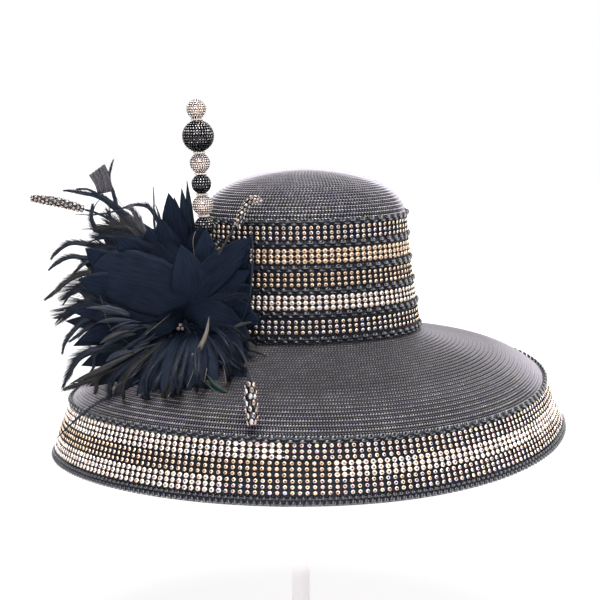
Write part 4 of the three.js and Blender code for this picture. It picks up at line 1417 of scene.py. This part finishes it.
def sample(line, s):
    """The line's places and axes at shares s of its length."""
    index = np.asarray(s) * (len(line.place) - 1)
    low = np.minimum(index.astype(int), len(line.place) - 2)
    part = (index - low)[:, None]
    return [v[low] * (1 - part) + v[low + 1] * part for v in line[:4]]


def feather_line(f, curls):
    """A feather's line from its root on the backing: an even bend, or one that curls near the tip."""
    a = math.radians(f.turn)
    along = np.array([math.cos(a), 0, math.sin(a)])
    side = np.array([-math.sin(a), 0, math.cos(a)])
    root = BACKING_AT + along * 4
    tip = SPRAY_MIDDLE + along * f.reach + FACE * f.toward
    bend = root + (tip - root) * f.at + side * f.bow + np.array([0, -f.arch, f.arch / 3])
    if curls:
        return line_from(*follow((root, bend, tip), 80))
    return line_from(*bezier((root, bend, tip), np.linspace(0, 1, 80)))


def outline(s, widest=0.55, blunt=1.7):
    """A feather's width along it: round at the root and drawn to a point, or rounder the blunter it is."""
    root = np.sin(np.clip(s / widest, 0, 1) * np.pi / 2) ** 0.8
    end = 1 - np.clip((s - widest) / (1 - widest), 0, 1) ** blunt
    return np.where(s < widest, root, end)


def vane(heap, line, width, dye, steps=24, half_columns=2, cup=0.2, blunt=1.7, root_shade=1.0, even=False):
    """The flat of a feather as a closed thin sheet, a little cupped; an even one is torn off square."""
    s = np.linspace(0, 1, steps)
    if even:
        s[[1, -2]] = 0.01, 0.99
    half = width / 2 * (np.ones(steps) if even else outline(s, blunt=blunt))
    half[[0, -1]] = 0
    place, forward, across, face = sample(line, s)
    columns = 4 * half_columns
    sheet = grid(columns, steps - 1)
    column, row = numbers(sheet)
    q = (column % columns) / columns
    u = np.where(q < 0.5, 4 * q - 1, 3 - 4 * q)
    front = np.where(q < 0.5, 1.0, -1.0)
    edge = 1 + 0.015 * rng.normal(0, 1, (2, steps))
    hand = (u > 0).astype(int)
    reach = half[row] * np.where(np.abs(u) > 0.5, edge[hand, row], 1)
    inner = (row > 0) & (row < steps - 1)
    thick = np.where(inner, 0.3 * (1 - np.abs(u)) ** 0.5 + 0.02, 0)
    swept = 0 if even else 1
    sweep = np.where(row < steps - 1, (np.abs(u) * 0.5 - 0.2) * half[row], 0) * swept
    points = place[row] + across[row] * (u * reach)[:, None] + forward[row] * sweep[:, None]
    points = points + face[row] * (front * thick - cup * u * u * half[row])[:, None]
    pattern = np.stack([u * half[row], s[row] * line.length], 1)
    # The root lies in the shade of the leaves round it
    shade = root_shade + (1 - root_shade) * s[row[first_points(sheet)]] ** 0.7
    heap.add(sheet, on_stand(points), pattern=pattern, tint=shade[:, None] * dye)


def shaft(heap, line, thick, dye, steps=14):
    place, forward, _, face = sample(line, np.linspace(0, 1, steps))
    radius = thick * np.linspace(1, 0.35, steps)
    radius[[0, -1]] = 0
    strand(heap, place + face * 0.35, forward, radius, sides=5, hint=FACE, tint=dye)


BARB_ROWS = 2
BARB = grid(3, BARB_ROWS)


def barbs(heap, line, width, dye):
    """Barbs down both sides of a shaft, swept to the tip in loose locks."""
    count = max(int(line.length * (1 - BARB_START) / BARB_PITCH), 6)
    column, row = numbers(BARB)
    t = (row / BARB_ROWS)[:, None]
    ring = 2 * np.pi * (column % 3) / 3
    taper = np.where(row == BARB_ROWS, 0, (1 - row / BARB_ROWS) ** 0.6)
    for hand in (-1, 1):
        s = BARB_START + (0.97 - BARB_START) * (np.arange(count) + rng.uniform(0, 0.7, count)) / count
        root, ahead, out, front = sample(line, s)
        lock = 3 * np.sin(s * rng.uniform(16, 26) + rng.uniform(0, 6))
        angle = np.radians(BARB_SWEEP + lock + rng.normal(0, 1.5, count))[:, None]
        go = unit(ahead * np.cos(angle) + out * hand * np.sin(angle))
        longest = width / 2 / math.sin(math.radians(BARB_SWEEP))
        reach = longest * outline(s * 0.85 + 0.1) * rng.uniform(0.8, 1.05, count)
        # No barb goes past the tip
        reach = np.minimum(reach, (1.01 - s) * line.length + 1.5)
        bend = front * rng.normal(0, 0.06, (count, 1))
        body = root[:, None] + (go[:, None] * t + bend[:, None] * t**2) * reach[:, None, None]
        wide = rng.uniform(0.25, 0.45, count)[:, None, None]
        flat = unit(np.cross(go, front))
        body = body + flat[:, None] * (np.cos(ring) * taper)[:, None] * wide
        body = body + front[:, None] * (np.sin(ring) * taper * 0.15)[:, None]
        heap.add(BARB, on_stand(body), tint=dye)


def lighter(dye, times):
    return tuple(times * v for v in dye)


def leaves():
    """The backing with the leaves in rounds, and the broad leaves in front."""
    heap = Heap()
    ball = sphere(1, 32, 20)
    backing = on_stand(BACKING_AT + ball.points * BACKING_HALF)
    heap.add(ball, backing, pattern=ball.points[:, :2] * 24, tint=SOOT)
    for f in LEAVES:
        line = feather_line(f, curls=False)
        vane(heap, line, f.width, f.dye, steps=32, half_columns=4, cup=0.1, root_shade=0.6)
        shaft(heap, line, 0.35, lighter(f.dye, 1.6))
    for leaf in BROAD:
        line = line_from(*follow((BROAD_ROOT, *leaf.line), 60))
        blunt = 3.2 if leaf is BROAD[0] else 1.6
        vane(heap, line, leaf.width, leaf.dye, 36, 6, cup=0.05, blunt=blunt, root_shade=0.5)
        shaft(heap, line, leaf.thick, lighter(leaf.dye, 1.5))
    heap.piece("spray_leaves", [FEATHER], slot="feather", replaces=["feather_spray"])


def barbed_feathers():
    """Plumes and hackles with loose barbs, in an upper and a lower piece."""
    lines = [(line_from(*follow((BACKING_AT, *f.line), 90)), f) for f in PLUMES]
    upper = [pair for pair in lines if pair[1].line[-1][2] > UPPER_FROM]
    lower = [pair for pair in lines if pair[1].line[-1][2] <= UPPER_FROM]
    lower += [(feather_line(f, curls=True), Piece((), f.width, 0.35, f.dye)) for f in HACKLES]
    for name, group in (("upper", upper), ("lower", lower)):
        heap = Heap()
        for line, f in group:
            vane(heap, line, f.width * 0.7, f.dye, steps=40)
            barbs(heap, line, f.width, f.dye)
            shaft(heap, line, f.thick, lighter(f.dye, 1.8))
        heap.piece(f"spray_hackles_{name}", [HACKLE], slot="feather")


def torn_end(heap):
    """A feather torn off square: strips side by side, each a little longer than the last."""
    torn = line_from(*follow(TORN.line, 40))
    root = np.array(TORN.line[0])
    for k in range(TORN_STRIPS):
        part = TORN.width / TORN_STRIPS
        shift = torn.across * (k - (TORN_STRIPS - 1) / 2) * part * np.linspace(0.8, 1.1, 40)[:, None]
        longer = 1 + 0.03 * k
        place = root + (torn.place - root) * longer + shift + FACE * (k % 2) * 0.4
        vane(heap, line_from(place, torn.forward), part * 1.35, TORN.dye, steps=14, cup=0.05, even=True)


def wisps(heap):
    """Short hackles that lie over one another, from roots a little out from the middle."""
    for k in range(WISPS):
        turn = math.radians(rng.uniform(*WISP_TURNS))
        out = rng.uniform(*WISP_ROOTS)
        root = LOWER_MIDDLE + out * np.array([math.cos(turn), -0.9 + 0.004 * out, math.sin(turn)])
        turn += rng.normal(0, 0.3)
        length = rng.uniform(*WISP_LENGTHS)
        go = np.array([math.cos(turn), rng.uniform(-0.35, 0.0), math.sin(turn)])
        droop = np.array([0, length * 0.2, -length * 0.16])
        middle = root + go * length * 0.6 - droop * 0.3
        line = line_from(*bezier((root, middle, root + go * length + droop), np.linspace(0, 1, 40)))
        dye = WISP_DYES[k % len(WISP_DYES)]
        vane(heap, line, rng.uniform(*WISP_WIDTHS), dye)
        shaft(heap, line, 0.28, ASH if k % 5 == 0 else lighter(dye, 1.5))


def odd_pieces():
    heap = Heap()
    for piece in PIECES:
        line = line_from(*follow(piece.line, 60))
        shaft(heap, line, piece.thick * 0.7, piece.dye, steps=20)
        if piece.width:
            vane(heap, line, piece.width, piece.dye)
    torn_end(heap)
    wisps(heap)
    heap.piece("spray_odd_pieces", [HACKLE], slot="feather")


def centre_stones():
    heap = Heap()
    angles = np.radians((90, 210, 330))
    at = STONES_AT + np.stack([2.0 * np.cos(angles), np.full(3, -0.4), 2.0 * np.sin(angles)], 1)
    shape = set_stone(1.4, 1.9)
    out = np.broadcast_to(FACE, (3, 3))
    heap.copies(shape, on_stand(at), frame_along(out), tint=cut_tints(shape, 3, IRIDESCENT) * 0.4)
    core = sphere(2.4, 12, 8)
    heap.add(core, on_stand(STONES_AT + (0, 2, 0) + core.points), finish=1)
    heap.piece("spray_centre_stones", [STONE, BLACK_CUP], slot="close_stones", replaces=["feather_stones"])


leaves()
barbed_feathers()
odd_pieces()
centre_stones()


# Stand
BASE_RADIUS = 80
BASE_THICK = 8
BASE_LOWER_ROUND = 1
BASE_UPPER_ROUND = 1.5
POST_RADIUS = 8
CAP_RIM = 6
CAP_ROUND = 1
TURNED_STEPS = 96


def spun(profile):
    """A solid turned about the stand's axis, from radius and height pairs that start and end on it."""
    bm = bmesh.new()
    verts = [bm.verts.new((r * MM, 0, h * MM)) for r, h in profile]
    edges = [bm.edges.new(pair) for pair in zip(verts, verts[1:])]
    bmesh.ops.spin(
        bm,
        geom=verts + edges,
        cent=(0, 0, 0),
        axis=(0, 0, 1),
        angle=2 * math.pi,
        steps=TURNED_STEPS,
        use_merge=True,
    )
    bmesh.ops.remove_doubles(bm, verts=bm.verts, dist=1e-6)
    bmesh.ops.recalc_face_normals(bm, faces=bm.faces)
    return bm


def stand_piece(name, profile, node_name):
    bm = spun(profile)
    mesh = bpy.data.meshes.new(name)
    bm.to_mesh(mesh)
    bm.free()
    mesh.materials.append(ACRYLIC)
    for face in mesh.polygons:
        face.use_smooth = True
    mesh.set_sharp_from_angle(angle=math.radians(35))
    made = bpy.data.objects.new(name, mesh)
    bpy.context.scene.collection.objects.link(made)
    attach(made, "root")
    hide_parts(node_name)


def arc(centre_r, centre_h, radius, start, end):
    """Points on a circle's arc, for rounded edges."""
    angles = np.radians(np.linspace(start, end, 6))
    return [(centre_r + radius * math.cos(a), centre_h + radius * math.sin(a)) for a in angles]


def stand():
    low_round, high_round = BASE_LOWER_ROUND, BASE_UPPER_ROUND
    foot_profile = [(0, 0), (BASE_RADIUS - low_round, 0)]
    foot_profile += arc(BASE_RADIUS - low_round, low_round, low_round, -90, 0)
    foot_profile += arc(BASE_RADIUS - high_round, BASE_THICK - high_round, high_round, 0, 90)
    foot_profile += [(0, BASE_THICK)]
    stand_piece("stand_foot", foot_profile, "stand_base")

    low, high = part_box("stand_post")
    bottom, top = low.z / MM, high.z / MM
    stand_piece("stand_rod", [(0, bottom), (POST_RADIUS, bottom), (POST_RADIUS, top), (0, top)], "stand_post")

    low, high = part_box("stand_cap")
    bottom, top, radius = low.z / MM, high.z / MM, high.x / MM
    rise = top - bottom - CAP_RIM
    quarter = np.radians(np.linspace(0, 90, 14))[:-1]
    cap_profile = [(0, bottom), (radius - CAP_ROUND, bottom)]
    cap_profile += arc(radius - CAP_ROUND, bottom + CAP_ROUND, CAP_ROUND, -90, 0)
    cap_profile += [(radius * math.cos(a), bottom + CAP_RIM + rise * math.sin(a)) for a in quarter]
    stand_piece("stand_top", cap_profile + [(0, top)], "stand_cap")


stand()


# Floor, light and camera. Sizes are in metres
FLOOR_HALF = 6
SOFT_BOX = 42.0
FRONT_BOX = 12.0
MIRRORED_SHARE = 0.3

# Each lamp: its place, size and power, and whether it is mirrored in the hat
Lamp = namedtuple("Lamp", "name place size power mirrored")
LAMPS = (
    Lamp("key", (-0.5, -1.25, 1.4), (0.8, 0.5), 8, True),
    Lamp("side", (1.5, -0.1, 0.9), (0.6, 0.9), 8, True),
    Lamp("fill", (0, -1.7, 0.7), (1.2, 1.0), 20, False),
)
LAMP_AIM = Vector((0, 0, 0.3))

# The camera stands in front, at the photo's height and distance
CAMERA_AIM = Vector((-0.9, 0, 315)) * MM
DISTANCE = 1432 * MM
ELEVATION = math.radians(8.15)
LENS = 96
SENSOR = 36


def stage():
    bm = bmesh.new()
    bmesh.ops.create_grid(bm, x_segments=4, y_segments=4, size=FLOOR_HALF)
    mesh = bpy.data.meshes.new("pale_floor")
    bm.to_mesh(mesh)
    bm.free()
    mesh.materials.append(FLOOR)
    floor = bpy.data.objects.new("pale_floor", mesh)
    bpy.context.scene.collection.objects.link(floor)


def studio_world():
    """The camera sees plain white, and through the clear stand a white that greys towards the sides. The hat
    mirrors a pale wall behind it, some light on the right and the left, a soft box overhead, a small one high
    in front and, round the camera, a dark room, so that black stays black."""
    world = bpy.data.worlds.new("studio")
    bpy.context.scene.world = world
    world.use_nodes = True
    tree = world.node_tree
    direction = node(tree, "ShaderNodeTexCoord").outputs["Generated"]
    right, back, up = node(tree, "ShaderNodeSeparateXYZ", {0: direction}).outputs
    aside = math_node(tree, "ABSOLUTE", right)
    path = node(tree, "ShaderNodeLightPath").outputs

    def patch(first, *others):
        """A patch of light: each ramp runs over one direction, and they are multiplied together."""
        made = ramp(tree, *first)
        for other in others:
            made = multiply(tree, made, ramp(tree, *other))
        return made

    wall = patch(
        (back, 0.2, 0.7, 0.03, 4.2),
        (up, 0.72, 0.9, 1.0, 0.1),
        (right, -0.4, 0.1, 0.5, 1.0),
        (up, 0.15, 0.5, 0.15, 1.0),
    )
    right_light = patch((right, 0.6, 0.9, 0.0, 1.6), (up, -0.1, 0.1, 0.3, 1.0))
    left_light = patch((right, -0.9, -0.6, 0.5, 0.0))
    overhead = patch(
        (up, 0.955, 0.965, 0.0, SOFT_BOX),
        (back, 0.2, 0.24, 1.0, 0.0),
        (aside, 0.2, 0.24, 1.0, 0.0),
    )
    # The overhead box lights the hat more than it shows in the stones
    overhead = multiply(tree, overhead, scaled(tree, path["Is Glossy Ray"], MIRRORED_SHARE - 1, 1.0))
    front = patch(
        (up, 0.35, 0.38, 0.0, FRONT_BOX),
        (up, 0.58, 0.61, 1.0, 0.0),
        (back, -0.2, -0.1, 1.0, 0.0),
        (aside, 0.2, 0.26, 1.0, 0.0),
    )
    boxes = math_node(tree, "ADD", overhead, front)
    sides = math_node(tree, "ADD", left_light, right_light)
    studio = math_node(tree, "ADD", math_node(tree, "ADD", wall, boxes), sides)
    clear = ramp(tree, aside, 0.3, 0.7, 0.97, 0.5)
    through = node(tree, "ShaderNodeMix", {0: path["Is Transmission Ray"], 2: studio, 3: clear}).outputs[0]
    strength = node(tree, "ShaderNodeMix", {0: path["Is Camera Ray"], 2: through, 3: 1.0}).outputs[0]
    background = tree.nodes["Background"]
    background.inputs["Color"].default_value = (1, 1, 1, 1)
    tree.links.new(strength, background.inputs["Strength"])


def add_lamp(lamp):
    data = bpy.data.lights.new(lamp.name, "AREA")
    data.shape = "RECTANGLE"
    data.size, data.size_y = lamp.size
    data.energy = lamp.power
    made = bpy.data.objects.new(lamp.name, data)
    made.location = lamp.place
    made.rotation_euler = (LAMP_AIM - Vector(lamp.place)).to_track_quat("-Z", "Y").to_euler()
    made.visible_glossy = lamp.mirrored
    bpy.context.scene.collection.objects.link(made)


def camera():
    data = bpy.data.cameras.new("camera")
    data.lens = LENS
    data.sensor_width = SENSOR
    made = bpy.data.objects.new("camera", data)
    made.location = CAMERA_AIM + DISTANCE * Vector((0, -math.cos(ELEVATION), math.sin(ELEVATION)))
    made.rotation_euler = (CAMERA_AIM - made.location).to_track_quat("-Z", "Y").to_euler()
    bpy.context.scene.collection.objects.link(made)
    bpy.context.scene.camera = made


stage()
studio_world()
for each in LAMPS:
    add_lamp(each)
camera()
bpy.context.scene.view_settings.view_transform = "Standard"
